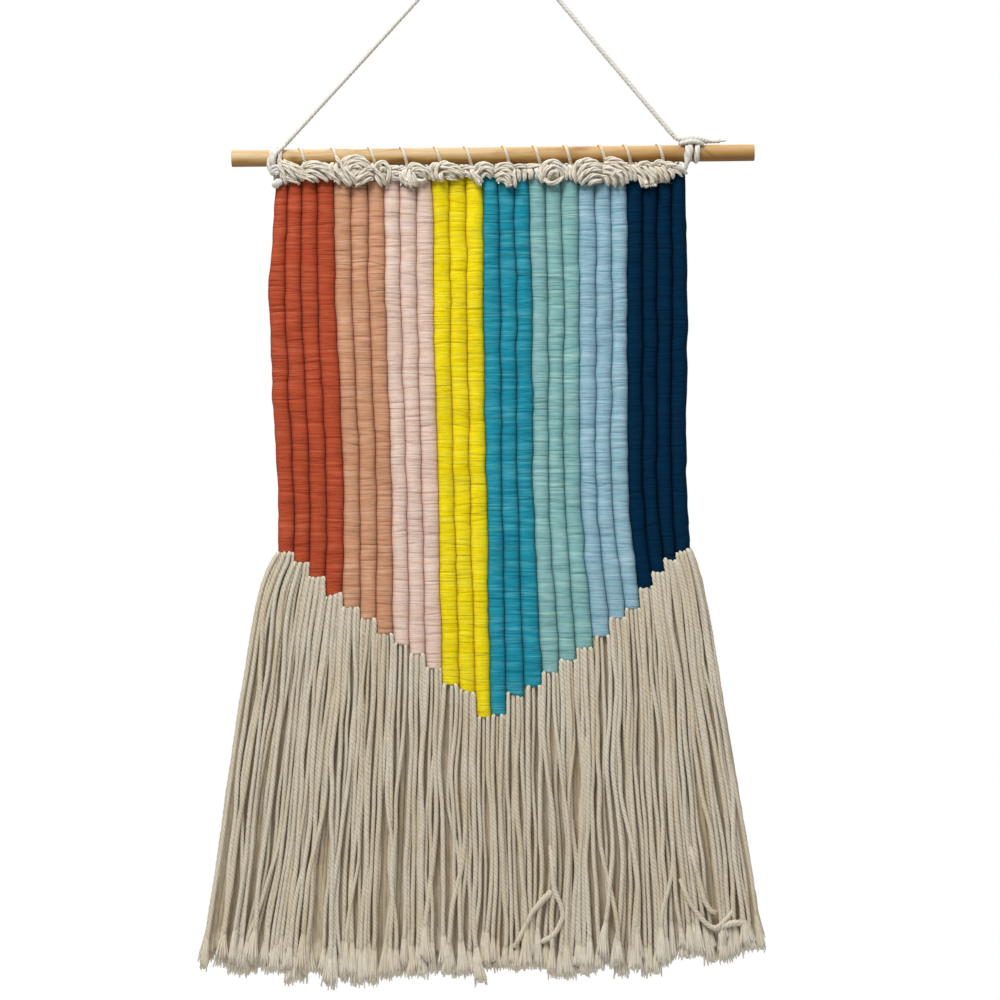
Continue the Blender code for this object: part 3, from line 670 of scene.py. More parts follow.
@dataclass(frozen=True)
class YarnFinish:
    """Wound cotton yarn: fine threads side by side, in one colour that varies a little, with painted shade in its
    thread grooves, its creases and along its sides.
    """

    name: str
    colour: Colour
    light: Colour
    # dark is the colour of the thread grooves, partly the yarn's own and partly painted shade, and of the painted
    # shade in the creases and at the column's sides.
    dark: Colour
    contrast: float = 1.0
    sheen: float = 0.04
    gloss: float = 0.14

    def material(self) -> bpy.types.Material:
        """Make the yarn.

        Returns:
            The material, with threads across the column.
        """
        graph = Graph(self.name)
        threads = graph.noise((30, 30, 820), 3.0)
        bands = graph.noise((22, 22, 300), 2.0)
        patch = graph.noise((60, 60, 40), 2.0)
        colour = graph.blend(graph.spread(bands, 0.46, 0.70, 0.0, self.contrast), self.colour, self.light)
        # Darker where the thread relief is low: partly the yarn's own variation, partly painted shade in the grooves
        # between threads.
        colour = graph.blend(graph.spread(threads, 0.50, 0.30, 0.0, 0.6 * self.contrast), colour, self.dark)
        colour = graph.shade(colour, graph.spread(patch, 0.3, 0.7, 0.92, 1.06))
        # Painted shade: where the mesh's ply value is low, in the creases and at the column's sides, the colour goes
        # towards the dark colour.
        hollow = graph.spread(graph.attribute("ply"), 0.0, 1.0, 0.75, 0.0)
        colour = graph.blend(hollow, colour, self.dark)
        fine = graph.noise((260, 260, 2300), 2.0)
        relief = graph.bump(threads, 1.1, 0.8)
        graph.feed(graph.shader, {
            "Base Color": colour,
            "Roughness": 0.88,
            "Sheen Weight": self.sheen,
            "Sheen Roughness": 0.55,
            "Specular IOR Level": self.gloss,
            "Normal": graph.bump(fine, 0.4, 0.5, relief),
        })
        return graph.material


@dataclass(frozen=True)
class WoodFinish:
    """Plain pale dowel: long faint grain, a few darker stains, darker end grain, and painted shade on its underside
    that deepens towards its right end.
    """

    name: str
    pale: Colour
    warm: Colour
    grain: Colour
    # stain is the colour of the real stains and also of the painted shade under the rod and towards its right end.
    stain: Colour
    end: Colour
    mark: Colour
    # low is the colour of the painted shade on the rod's lower half.
    low: Colour

    def material(self) -> bpy.types.Material:
        """Make the wood.

        Returns:
            The material, with its grain along the rod.
        """
        graph = Graph(self.name)
        long_grain = graph.noise((9, 240, 240), 4.0)
        pores = graph.noise((60, 1500, 1500), 2.0)
        stains = graph.noise((22, 60, 60), 3.0)
        rings = graph.add("ShaderNodeTexWave", {
            "Vector": graph.place((0, 1, 1)), "Scale": 520.0, "Distortion": 3.0, "Detail": 2.0,
            "Detail Scale": 2.0,
        }, wave_type="RINGS", rings_direction="X").outputs["Fac"]
        split = graph.add("ShaderNodeSeparateXYZ", {"Vector": graph.place((1000, 1000, 1000))})
        plain = graph.blend(graph.spread(split.outputs["X"], -190.0, 150.0, 0.0, 1.0), self.pale, self.warm)
        colour = graph.blend(graph.spread(long_grain, 0.45, 0.66, 0.0, 0.75), plain, self.grain)
        colour = graph.blend(graph.spread(stains, 0.58, 0.78, 0.0, 0.7), colour, self.stain)
        colour = graph.shade(colour, graph.spread(pores, 0.35, 0.7, 1.04, 0.9))
        # Painted shade: the lower half goes towards the low colour and the underside towards the stain colour;
        # towards the right end the painted shade reaches higher and is deeper.
        colour = graph.blend(graph.spread(split.outputs["Z"], 1.5, -3.5, 0.0, 0.75), colour, self.low)
        colour = graph.blend(graph.spread(split.outputs["Z"], -2.0, -6.6, 0.0, 0.8), colour, self.stain)
        darker = graph.blend(graph.spread(split.outputs["Z"], 3.5, -4.5, 0.0, 0.6), colour, self.stain)
        colour = graph.blend(graph.spread(split.outputs["X"], 40.0, 190.0, 0.0, 1.0), colour, darker)
        colour = graph.blend(graph.attribute("tone"), colour, self.mark)
        cut = graph.blend(graph.spread(rings, 0.0, 1.0, 0.25, 1.0), self.pale, self.end)
        colour = graph.blend(graph.attribute("ply"), cut, colour)
        graph.feed(graph.shader, {
            "Base Color": colour,
            "Roughness": graph.spread(pores, 0.3, 0.7, 0.42, 0.58),
            "Specular IOR Level": 0.35,
            "Normal": graph.bump(long_grain, 0.25, 0.5),
        })
        return graph.material


YARN_FINISHES = {
    Yarn.RUST: YarnFinish("rust_yarn", linear("B94E2E"), linear("CC6242"), linear("701F10"), 0.9),
    Yarn.TAN: YarnFinish("tan_yarn", linear("D39B77"), linear("E0B092"), linear("8A5538")),
    Yarn.PINK: YarnFinish("pink_yarn", linear("EBCEBC"), linear("F0DACE"), linear("A5806F")),
    Yarn.YELLOW: YarnFinish("yellow_yarn", linear("F8E107"), linear("F8E838"), linear("A98A02"), 0.9),
    Yarn.TEAL: YarnFinish("teal_yarn", linear("1990A7"), linear("4CB0C0"), linear("06505F"), 0.9),
    Yarn.SEA_GREEN: YarnFinish("sea_green_yarn", linear("87BABB"), linear("A8D0CA"), linear("3E7671")),
    Yarn.LIGHT_BLUE: YarnFinish("light_blue_yarn", linear("94BCCB"), linear("B3D1DE"), linear("4F7F98")),
    Yarn.NAVY: YarnFinish("navy_yarn", linear("012843"), linear("06324E"), linear("011420"), 0.5, 0.0, 0.06),
}
FRINGE_COTTON = CottonFinish("fringe_cotton", linear("E1D9C6"), linear("D6C5A7"), linear("786648"), 0.3)
LASHING_COTTON = CottonFinish("lashing_cotton", linear("F0E2CC"), linear("E4CFAC"), linear("8A6F4E"), 0.5)
CORD_COTTON = CottonFinish("cord_cotton", linear("E8E5DE"), linear("DED7C8"), linear("9A9082"), 0.26)
KNOT_COTTON = CottonFinish("knot_cotton", linear("ECE5D7"), linear("DFD3BB"), linear("7A6B56"), 0.26)
DOWEL = WoodFinish("dowel_wood", linear("D0B78D"), linear("C6A06A"), linear("B98E52"), linear("7E4C0C"),
                   linear("A07038"), linear("8A5E1C"), linear("CB9A48"))


def smooth_through(levels: object, values: object, at: np.ndarray) -> np.ndarray:
    """Follow a smooth curve through values at their levels, straight past the ends.

    Args:
        levels: Where the values stand.
        values: The values.
        at: Where the curve is asked for.

    Returns:
        The curve's values.
    """
    levels, values, at = (np.asarray(v, float) for v in (levels, values, at))
    slopes = np.empty(len(levels))
    slopes[0] = (values[1] - values[0]) / (levels[1] - levels[0])
    slopes[-1] = (values[-1] - values[-2]) / (levels[-1] - levels[-2])
    slopes[1:-1] = (values[2:] - values[:-2]) / (levels[2:] - levels[:-2])
    i = np.clip(np.searchsorted(levels, at) - 1, 0, len(levels) - 2)
    span = levels[i + 1] - levels[i]
    t = (at - levels[i]) / span
    inside = (
        (2 * t**3 - 3 * t**2 + 1) * values[i]
        + (t**3 - 2 * t**2 + t) * span * slopes[i]
        + (3 * t**2 - 2 * t**3) * values[i + 1]
        + (t**3 - t**2) * span * slopes[i + 1]
    )
    before = values[0] + slopes[0] * (at - levels[0])
    after = values[-1] + slopes[-1] * (at - levels[-1])
    return np.where(at < levels[0], before, np.where(at > levels[-1], after, inside))


def uneven(at: np.ndarray, length: float, chance: np.random.Generator) -> np.ndarray:
    """A line that wanders smoothly between about -1 and 1.

    Args:
        at: Where it is asked for, in rising order.
        length: The distance over which it changes.
        chance: The source of random numbers.

    Returns:
        Its values.
    """
    knots = np.arange(at[0] - 2 * length, at[-1] + 3 * length, length)
    return np.clip(smooth_through(knots, 0.6 * chance.standard_normal(len(knots)), at), -1.5, 1.5)


def any_turn(chance: np.random.Generator) -> float:
    """An angle at random, for the place where a cord's plies start."""
    return chance.uniform(0, 6.28)


def ease(share: object) -> object:
    """Go from 0 to 1 with a soft start and a soft end."""
    return share**2 * (3 - 2 * share)


def around(sides: int) -> np.ndarray:
    """Even angles round a ring."""
    return 2 * math.pi * np.arange(sides) / sides


def unit(vectors: np.ndarray) -> np.ndarray:
    """The same directions, each 1 long."""
    return vectors / np.linalg.norm(vectors, axis=-1, keepdims=True)


def from_grid(path: object, y: float = 0.0) -> np.ndarray:
    """Bring points in grid steps to places at one depth."""
    across, down = np.array(path, float).T
    return np.stack([(across - GRID_X) * GRID, np.full(len(across), y), -(down + GRID_TOP) * GRID], axis=1)


def rod_z(x: object) -> object:
    """Height of the rod's axis."""
    return -ROD_DROP + math.tan(ROD_TILT) * (x - ROD_MIDDLE_X)


def out_of_rod(line: np.ndarray) -> np.ndarray:
    """The way from the rod's axis out to each point of a line."""
    return np.stack([np.zeros(len(line)), line[:, 1], line[:, 2] - rod_z(line[:, 0])], axis=1)


def fan(share: np.ndarray, quick: float) -> np.ndarray:
    """How far a strand has moved across by a share of its fall: a part of it quickly, then evenly."""
    early = (1 - np.exp(-share / FAN_LENGTH)) / (1 - math.exp(-1 / FAN_LENGTH))
    return quick * early + (1 - quick) * share


class Layout:
    """Where the columns stand side by side, with sides that two neighbours share."""

    def __init__(self, chance: np.random.Generator) -> None:
        """Draw how each shared side wanders.

        Args:
            chance: The source of random numbers.
        """
        self.levels = np.arange(150.0, 900.0, 1.0)
        self.wander = [
            0.62 * uneven(self.levels, 19.0, chance) + 0.3 * uneven(self.levels, 7.0, chance)
            for _ in range(len(COLUMNS) + 1)
        ]
        self.sway = [3.0 * uneven(self.levels, 75.0, chance) for _ in range(len(COLUMNS) + 1)]
        self.sway[0] *= 0.25
        self.sway[-1] *= 0.25

    def middle(self, number: int, drop: np.ndarray) -> np.ndarray:
        """A column's middle across.

        Args:
            number: 0 for the first column, and so on.
            drop: Distances below the hook.

        Returns:
            Places across.
        """
        row = COLUMNS[number]
        levels = (HEAD_LEVEL, WAIST_LEVEL, HIP_LEVEL, row.foot)
        return smooth_through(levels, (row.head_x, row.waist_x, row.hip_x, row.foot_x), drop)

    def edge(self, number: int, drop: np.ndarray, wandering: bool = True) -> np.ndarray:
        """Where one column ends and the next begins.

        Args:
            number: 0 for the first column's left side, and so on.
            drop: Distances below the hook.
            wandering: Whether the side bends as the wound yarn's does.

        Returns:
            Places across.
        """
        drop = np.asarray(drop, float)
        last = len(COLUMNS)
        if number == 0:
            plain = 1.5 * self.middle(0, drop) - 0.5 * self.middle(1, drop)
        elif number == last:
            plain = 1.5 * self.middle(last - 1, drop) - 0.5 * self.middle(last - 2, drop)
        else:
            plain = (self.middle(number - 1, drop) + self.middle(number, drop)) / 2
        return plain + np.interp(drop, self.levels, self.wander[number]) * wandering

    def seam(self, number: int, drop: np.ndarray) -> np.ndarray:
        """Where one column's fringe meets the next one's: beside the yarn first, then fanned out.

        Args:
            number: 0 for the first fringe's left side, and so on.
            drop: Distances below the hook.

        Returns:
            Places across.
        """
        near = [COLUMNS[k] for k in (number - 1, number) if 0 <= k < len(COLUMNS)]
        start = max(row.foot for row in near)
        hem = sum(row.hem for row in near) / len(near)
        share = np.clip((drop - start) / (hem - start), 0, 1.1)
        loose = np.clip((drop - start) / 70.0, 0, 1) * np.interp(drop, self.levels, self.sway[number])
        quick = float(np.interp(number, EARLY_SEAMS, EARLY))
        spread = float(np.interp(number, SPREAD_SEAMS, SPREAD))
        return self.edge(number, np.minimum(drop, start)) + spread * fan(share, quick) + loose


def travelled(points: np.ndarray) -> np.ndarray:
    """The distance along a line at each of its points."""
    return np.concatenate(([0.0], np.cumsum(np.linalg.norm(np.diff(points, axis=0), axis=1))))


def smooth_line(points: object, step: float) -> np.ndarray:
    """A smooth line through a few points, with points of its own at an even step.

    Args:
        points: The points to pass through.
        step: The distance between the new ones.

    Returns:
        The new points, one a row.
    """
    given = np.asarray(points, float)
    along = travelled(given)
    fine = np.linspace(0, along[-1], max(int(along[-1] / step * 3), 12))
    dense = np.stack([smooth_through(along, given[:, k], fine) for k in range(3)], axis=1)
    reach = travelled(dense)
    even = np.linspace(0, reach[-1], max(int(round(reach[-1] / step)), 4) + 1)
    return np.stack([np.interp(even, reach, dense[:, k]) for k in range(3)], axis=1)


def frames_along(points: np.ndarray) -> tuple[np.ndarray, np.ndarray]:
    """Two directions square to a line at each of its points, turning as little as can be.

    Args:
        points: The line.

    Returns:
        The sideways and the upward directions.
    """
    ahead = unit(np.gradient(points, axis=0))
    first = np.eye(3)[np.argmin(np.abs(ahead[0]))]
    side = np.empty_like(points)
    last = first - ahead[0] * (first @ ahead[0])
    for i, t in enumerate(ahead):
        last = last - t * (last @ t)
        last = last / math.sqrt(last @ last)
        side[i] = last
    return side, np.cross(ahead, side)


def frames_facing(points: np.ndarray, out: np.ndarray) -> tuple[np.ndarray, np.ndarray]:
    """Two directions square to a line, the second of which faces a given way.

    Args:
        points: The line.
        out: The way to face at each point.

    Returns:
        The side and the facing direction at each point.
    """
    ahead = unit(np.gradient(points, axis=0))
    side = unit(np.cross(out, ahead))
    return side, np.cross(ahead, side)


def hanging_frames(points: np.ndarray) -> tuple[np.ndarray, np.ndarray]:
    """The same two directions for a line that falls nearly straight down.

    Args:
        points: The line.

    Returns:
        The side and the other direction at each point.
    """
    ahead = unit(np.gradient(points, axis=0))
    side = unit(np.array([1.0, 0.0, 0.0]) - ahead * ahead[:, :1])
    return side, np.cross(ahead, side)


def ring_points(line: np.ndarray, across: np.ndarray, over: np.ndarray,
                frames: tuple[np.ndarray, np.ndarray]) -> np.ndarray:
    """Points round a line, one ring for each of its own.

    Args:
        line: The line.
        across: How far each point lies to the side, by ring and by place round it.
        over: How far it lies upward.
        frames: The sideways and the upward directions.

    Returns:
        The rings.
    """
    side, up = frames
    return line[:, None, :] + across[..., None] * side[:, None, :] + over[..., None] * up[:, None, :]


class MeshBuilder:
    """Gathers swept shapes and makes one mesh of them."""

    def __init__(self) -> None:
        """Start with nothing."""
        self.points: list[np.ndarray] = []
        self.quads: list[np.ndarray] = []
        self.fans: list[np.ndarray] = []
        self.ply: list[np.ndarray] = []
        self.tone: list[np.ndarray] = []
        self.count = 0

    def add_rings(self, rings: np.ndarray, ply: np.ndarray, tone: float, looped: bool = False) -> None:
        """Skin a row of rings, and close its ends unless it is a loop.

        Args:
            rings: Points by ring, by place round the ring.
            ply: 1 on a crest and 0 in a furrow, for each of those points; the cotton and yarn finishes paint shade
                where it is low.
            tone: From 0, pale, to 1, warm.
            looped: Whether the last ring meets the first.
        """
        n, m, _ = rings.shape
        index = np.arange(n * m).reshape(n, m) + self.count
        nxt = np.roll(index, -1, axis=1)
        if looped:
            a, b, c, d = index, nxt, np.roll(nxt, -1, axis=0), np.roll(index, -1, axis=0)
        else:
            a, b, c, d = index[:-1], nxt[:-1], nxt[1:], index[1:]
        self.quads.append(np.stack([a, b, c, d], axis=-1).reshape(-1, 4))
        self.points.append(rings.reshape(-1, 3))
        self.ply.append(ply.reshape(-1))
        self.count += n * m
        extra = 0
        if not looped:
            ends = np.stack([rings[0].mean(axis=0), rings[-1].mean(axis=0)])
            self.points.append(ends)
            self.ply.append(np.full(2, 0.6))
            first, last = self.count, self.count + 1
            self.fans.append(np.stack([np.full(m, first), nxt[0], index[0]], axis=-1))
            self.fans.append(np.stack([np.full(m, last), index[-1], nxt[-1]], axis=-1))
            self.count += 2
            extra = 2
        self.tone.append(np.full(n * m + extra, tone))

    def add_cord(self, points: np.ndarray, radius: object, lay: Lay, tone: float,
                 phase: float = 0.0, squash: float = 1.0,
                 frames: tuple[np.ndarray, np.ndarray] | None = None, crest_ply: object = 1.0) -> None:
        """Sweep a twisted cord along a line.

        Args:
            points: The line, at the lay's step.
            radius: Its radius, one number or one a point.
            lay: How it is twisted.
            tone: From 0, pale, to 1, warm.
            phase: Where its plies start.
            squash: Its thickness as a share of its width.
            frames: The two directions square to the line, where they are known.
            crest_ply: The ply value on its crests, one or one a point: less than 1 where the cord is painted in
                shade, and more than 1 where it is frayed and painted paler, which is partly painted light.
        """
        turn = phase - 2 * math.pi * travelled(points) / lay.pitch
        crest = 0.5 + 0.5 * np.cos(PLIES * around(lay.sides))
        away = np.broadcast_to(np.asarray(radius, float), len(points))[:, None] * (1 - lay.furrow * (1 - crest))
        angle = around(lay.sides)[None, :] + turn[:, None]
        rings = ring_points(points, away * np.cos(angle), away * np.sin(angle) * squash,
                            frames or frames_along(points))
        self.add_rings(rings, crest * np.broadcast_to(crest_ply, len(points))[:, None], tone)

    def add_brush(self, points: np.ndarray, radius: float, widen: float, tone: float, locks: int,
                  chance: np.random.Generator) -> None:
        """Spread a cord's end into a soft blunt brush: a core, with locks of fibres laid along it.

        Args:
            points: The line from where it starts to spread to its tip.
            radius: The cord's radius.
            widen: How much wider the tip is, as a share.
            tone: From 0, pale, to 1, warm.
            locks: How many locks lie round it.
            chance: The source of random numbers.
        """
        frames = side, up = hanging_frames(points)
        t = np.linspace(0, 1, len(points))
        swell = radius * (0.86 + 0.14 * np.clip(t / 0.3, 0, 1) + widen * t**1.5)
        core = 0.86 * swell * np.where(t > 0.75, 1 - 0.7 * ((t - 0.75) / 0.25) ** 2, 1)
        angle = around(BRUSH_SIDES)
        rings = ring_points(points, core[:, None] * np.cos(angle), BRUSH_FLAT * core[:, None] * np.sin(angle), frames)
        # The core takes a low ply value, which paints shade on it.
        self.add_rings(rings, np.full(rings.shape[:2], BRUSH_CORE_SHADE_PLY), tone)
        for k in range(locks):
            a = 2 * math.pi * (k + chance.uniform(-0.4, 0.4)) / locks
            at = np.array([chance.uniform(-0.15, 0.3), 0.5, 0.82, chance.uniform(0.86, 1.1)])
            wide = np.interp(at, t, swell) * (1 - 0.16 * chance.random())
            turned = a + at * chance.uniform(-0.25, 0.25)
            middle = np.stack([smooth_through(t, points[:, i], at) for i in range(3)], axis=1)
            line = (middle + (wide * np.cos(turned))[:, None] * side[0]
                    + (BRUSH_FLAT * wide * np.sin(turned))[:, None] * up[0])
            thick = (0.35 + 0.36 * widen * at) * LOCK_TAPER
            line -= (thick * LOCK_SINK)[:, None] * (math.cos(a) * side[0] + math.sin(a) * up[0])
            # The locks' crests rise above ply 1 towards the tip, which the cotton paints paler: partly loose fibres,
            # partly painted light.
            pale = 1.0 + chance.uniform(0.2, 0.7) * np.array([0.0, 0.4, 0.8, 1.0])
            self.add_cord(line, thick, LOCK_LAY, tone * chance.uniform(0.6, 1.1), math.pi / 2 - a,
                          crest_ply=pale * np.array([0.86, 1.0, 1.0, 1.0]))

    def add_fibres(self, root: np.ndarray, ahead: np.ndarray, count: int, length: float,
                   spread: float, radius: float, tone: float, chance: np.random.Generator) -> None:
        """Fray an end into thin fibres that part as they go.

        Args:
            root: Where they start.
            ahead: The way they go.
            count: How many there are.
            length: How long they are.
            spread: How far they part.
            radius: Their thickness at the root.
            tone: From 0, pale, to 1, warm.
            chance: The source of random numbers.
        """
        for _ in range(count):
            away = chance.standard_normal(3) * (1.0, 0.6, 0.25)
            bend = chance.standard_normal(3) * (1.0, 0.6, 0.2) * spread * 0.35
            t = np.linspace(0, 1, 4)[:, None]
            reach = length * chance.uniform(0.82, 1.06)
            start = root + away * spread * 0.45
            line = start + ahead * reach * t + away * spread * t**1.2 + bend * np.sin(math.pi * t)
            self.add_cord(line, radius * np.array([0.8, 1.0, 0.9, 0.5]),
                          FIBRE_LAY, tone, any_turn(chance))

    def build(self, name: str, finish: bpy.types.Material, slot: str, *nodes: str) -> bpy.types.Object:
        """Make the mesh and set it on the hanging.

        Args:
            name: The piece's name.
            finish: Its material.
            slot: The record's slot that the finish belongs to; not used.
            nodes: The solids that it stands for.

        Returns:
            The piece.
        """
        points = np.concatenate(self.points).astype(np.float32) * MM
        quads = np.concatenate(self.quads)
        fans = np.concatenate(self.fans) if self.fans else np.empty((0, 3), int)
        corners = np.concatenate([quads.ravel(), fans.ravel()])
        starts = np.concatenate([np.arange(len(quads)) * 4, len(quads) * 4 + np.arange(len(fans)) * 3])
        mesh = bpy.data.meshes.new(name)
        mesh.vertices.add(len(points))
        mesh.vertices.foreach_set("co", points.ravel())
        mesh.loops.add(len(corners))
        mesh.loops.foreach_set("vertex_index", corners.astype(np.int32))
        mesh.polygons.add(len(starts))
        mesh.polygons.foreach_set("loop_start", starts.astype(np.int32))
        for label, values in (("ply", self.ply), ("tone", self.tone)):
            layer = mesh.attributes.new(label, "FLOAT", "POINT")
            layer.data.foreach_set("value", np.concatenate(values).astype(np.float32))
        mesh.update(calc_edges=True)
        mesh.shade_smooth()
        mesh.materials.append(finish)
        piece = bpy.data.objects.new(name, mesh)
        bpy.context.scene.collection.objects.link(piece)
        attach(piece, BODY)
        if nodes:
            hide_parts(*nodes)
        LOG.info("%s: %d triangles", name, 2 * len(quads) + len(fans))
        return piece


@dataclass
class Rod:
    """The wooden rod, round and a little uneven, with its ends just broken."""

    sides: int = 56
    station: float = 2.2
    flaw: float = 0.09
    flaw_stations: float = 18.0
    chamfer: float = 0.6
    cut_share: float = 0.93
    cut_bulge: float = 0.02

    def stains(self, rings: np.ndarray) -> np.ndarray:
        """How dark the rod's front is made by its streaks.

        Args:
            rings: The rod's points, from its own middle.

        Returns:
            From 0, clean, to 1, for each point.
        """
        deepest = np.zeros(rings.shape[:2])
        for stain in ROD_STREAKS:
            away_x = rings[..., 0] + ROD_MIDDLE_X - stain.x
            away_z = rings[..., 2] - stain.z - stain.slope * away_x
            depth = stain.strength * np.exp(-((away_x / stain.length) ** 2) - (away_z / stain.height) ** 2)
            deepest = np.maximum(deepest, depth * (rings[..., 1] < 0))
        return deepest

    def build(self, chance: np.random.Generator) -> bpy.types.Object:
        """Turn the rod and dress it.

        Args:
            chance: The source of random numbers.

        Returns:
            The rod.
        """
        half = ROD_LENGTH / 2
        inner = np.arange(-half + self.chamfer, half - self.chamfer, self.station)
        xs = np.concatenate(([-half, -half], inner, [half - self.chamfer, half, half]))
        worn = self.flaw * uneven(np.arange(len(xs), dtype=float), self.flaw_stations, chance)
        radii = ROD_RADIUS - self.flaw + worn
        radii[[0, -1]] = ROD_RADIUS * self.cut_share
        radii[[1, -2]] = ROD_RADIUS - self.chamfer
        xs[0] += self.cut_bulge
        xs[-1] -= self.cut_bulge
        angle = around(self.sides)
        rings = np.stack([
            np.repeat(xs[:, None], self.sides, axis=1),
            radii[:, None] * np.cos(angle),
            -radii[:, None] * np.sin(angle),
        ], axis=-1)
        skin = np.ones(rings.shape[:2])
        skin[[0, -1]] = 0.0
        builder = MeshBuilder()
        builder.add_rings(rings, skin, 0.0)
        builder.ply[-1][:] = 0.0
        builder.tone[0] = np.append(self.stains(rings), (0.0, 0.0))
        rod = builder.build("dowel", DOWEL.material(), "wood", "rod")
        rod.location = Vector((ROD_MIDDLE_X, 0.0, -ROD_DROP)) * MM
        rod.rotation_euler = (0.0, -ROD_TILT, 0.0)
        return rod


@dataclass
class HangingCord:
    """The twisted cord from one hitch over the hook to the other."""

    radius: float = 2.05
    cad_diameter: float = 4.0

    def build(self, finish: bpy.types.Material) -> bpy.types.Object:
        """Args:
            finish: The cotton.

        Returns:
            The cord.
        """
        line = smooth_line(HANGER_ROUTE, HANGER_LAY.step)
        builder = MeshBuilder()
        builder.add_cord(line, self.radius, HANGER_LAY, 0.2)
        cord = builder.build("twisted_hanging_cord", finish, "cotton", "hanging_cord")
        length = travelled(line)[-1]
        LOG.info("hanging cord: %.1f mm long", length)
        return cord


@dataclass
class Hitches:
    """The ends of the hanging cord, tied round the rod."""

    turn_radius: float = 2.0
    ease_off: float = 0.35
    turn_start: float = 0.8
    turn_end: float = 2 * math.pi + 1.5
    turn_points: int = 64
    top_share: float = 1.0
    foot_share: float = 0.5
    flat_pitch: float = 24.0
    flat_sides: int = 12
    knot_pitch: float = 22.0
    tuck: float = 1.2
    filler_radius: float = 2.1
    cross_radius: float = 1.9
    link_radii: tuple[float, float] = (3.1, 1.1)

    def turn(self, wrap: Wrap) -> np.ndarray:
        """A turn of cord round the rod.

        Args:
            wrap: Where it lies.

        Returns:
            The line of the cord, a little more than once round.
        """
        a = np.linspace(self.turn_start, self.turn_end, self.turn_points)
        reach = ROD_RADIUS + self.ease_off + self.turn_radius
        across = wrap.x - wrap.lean / 2 * np.cos(a) + 0.5 * (a - math.pi) / math.pi
        return np.stack([across, reach * np.sin(a), rod_z(across) + reach * np.cos(a)], axis=1)

    def add_wraps(self, builder: MeshBuilder, wraps: tuple[Wrap, ...], chance: np.random.Generator) -> None:
        """Press turns of cord flat on the rod.

        Args:
            builder: The mesh that takes them.
            wraps: Where they lie.
            chance: The source of random numbers.
        """
        for wrap in wraps:
            line = smooth_line(self.turn(wrap), HITCH_LAY.step)
            out = out_of_rod(line)
            away = np.linalg.norm(out, axis=1)
            wide = wrap.radius * np.interp(out[:, 2] / away, (-1.0, -0.7), (self.foot_share, self.top_share))
            wide = wide * (1 + 0.07 * uneven(travelled(line), 4.0, chance))
            line += out * ((ROD_RADIUS + wide * wrap.flat) / away - 1)[:, None]
            builder.add_cord(line, wide, HITCH_LAY._replace(pitch=self.flat_pitch, sides=self.flat_sides), 0.3,
                             any_turn(chance), squash=wrap.flat, frames=frames_facing(line, out))

    def build_left(self, chance: np.random.Generator) -> MeshBuilder:
        """Tie the left hitch.

        Args:
            chance: The source of random numbers.

        Returns:
            Its mesh.
        """
        hitch = MeshBuilder()
        self.add_wraps(hitch, LEFT_WRAPS, chance)
        hitch.add_cord(smooth_line(LEFT_LEAD, HITCH_LAY.step), self.turn_radius, HITCH_LAY, 0.15)
        for row in LEFT_KNOT:
            places = from_grid(row.path, row.y)
            places[[0, -1], 1] += self.tuck
            line = smooth_line(places, HITCH_LAY.step)
            ends = 1 - 0.45 * np.abs(np.linspace(-1, 1, len(line))) ** 5
            hitch.add_cord(line, np.linspace(row.start_radius, row.end_radius, len(line)) * ends,
                           HITCH_LAY._replace(pitch=self.knot_pitch), 0.25, any_turn(chance))
        return hitch

    def build_right(self, chance: np.random.Generator) -> MeshBuilder:
        """Tie the right hitch, with its frayed tail.

        Args:
            chance: The source of random numbers.

        Returns:
            Its mesh.
        """
        hitch = MeshBuilder()
        self.add_wraps(hitch, RIGHT_WRAPS, chance)
        filler, link, tail, cross = (
            smooth_line(route, HITCH_LAY.step) for route in (RIGHT_FILLER, RIGHT_LINK, RIGHT_TAIL, RIGHT_CROSS)
        )
        hitch.add_cord(filler, self.filler_radius, HITCH_LAY, 0.5)
        hitch.add_cord(link, np.linspace(*self.link_radii, len(link)), HITCH_LAY._replace(pitch=self.flat_pitch), 0.4)
        hitch.add_cord(tail, smooth_through(TAIL_SHARES, TAIL_RADII, np.linspace(0, 1, len(tail))), HITCH_LAY, 0.2)
        hitch.add_cord(cross, self.cross_radius, HITCH_LAY, 0.25)
        hitch.add_fibres(tail[-1], np.array([1.0, 0.0, 0.05]), count=10, length=3.0, spread=0.9, radius=0.35,
                         tone=0.2, chance=chance)
        return hitch

    def build(self, finish: bpy.types.Material, chance: np.random.Generator) -> list[bpy.types.Object]:
        """Tie both hitches.

        Args:
            finish: The cotton.
            chance: The source of random numbers.

        Returns:
            The left and the right hitch.
        """
        left, right = self.build_left(chance), self.build_right(chance)
        return [
            left.build("left_hitch_cord", finish, "cotton", "left_hitch"),
            right.build("right_hitch_cord", finish, "cotton", "right_hitch"),
        ]


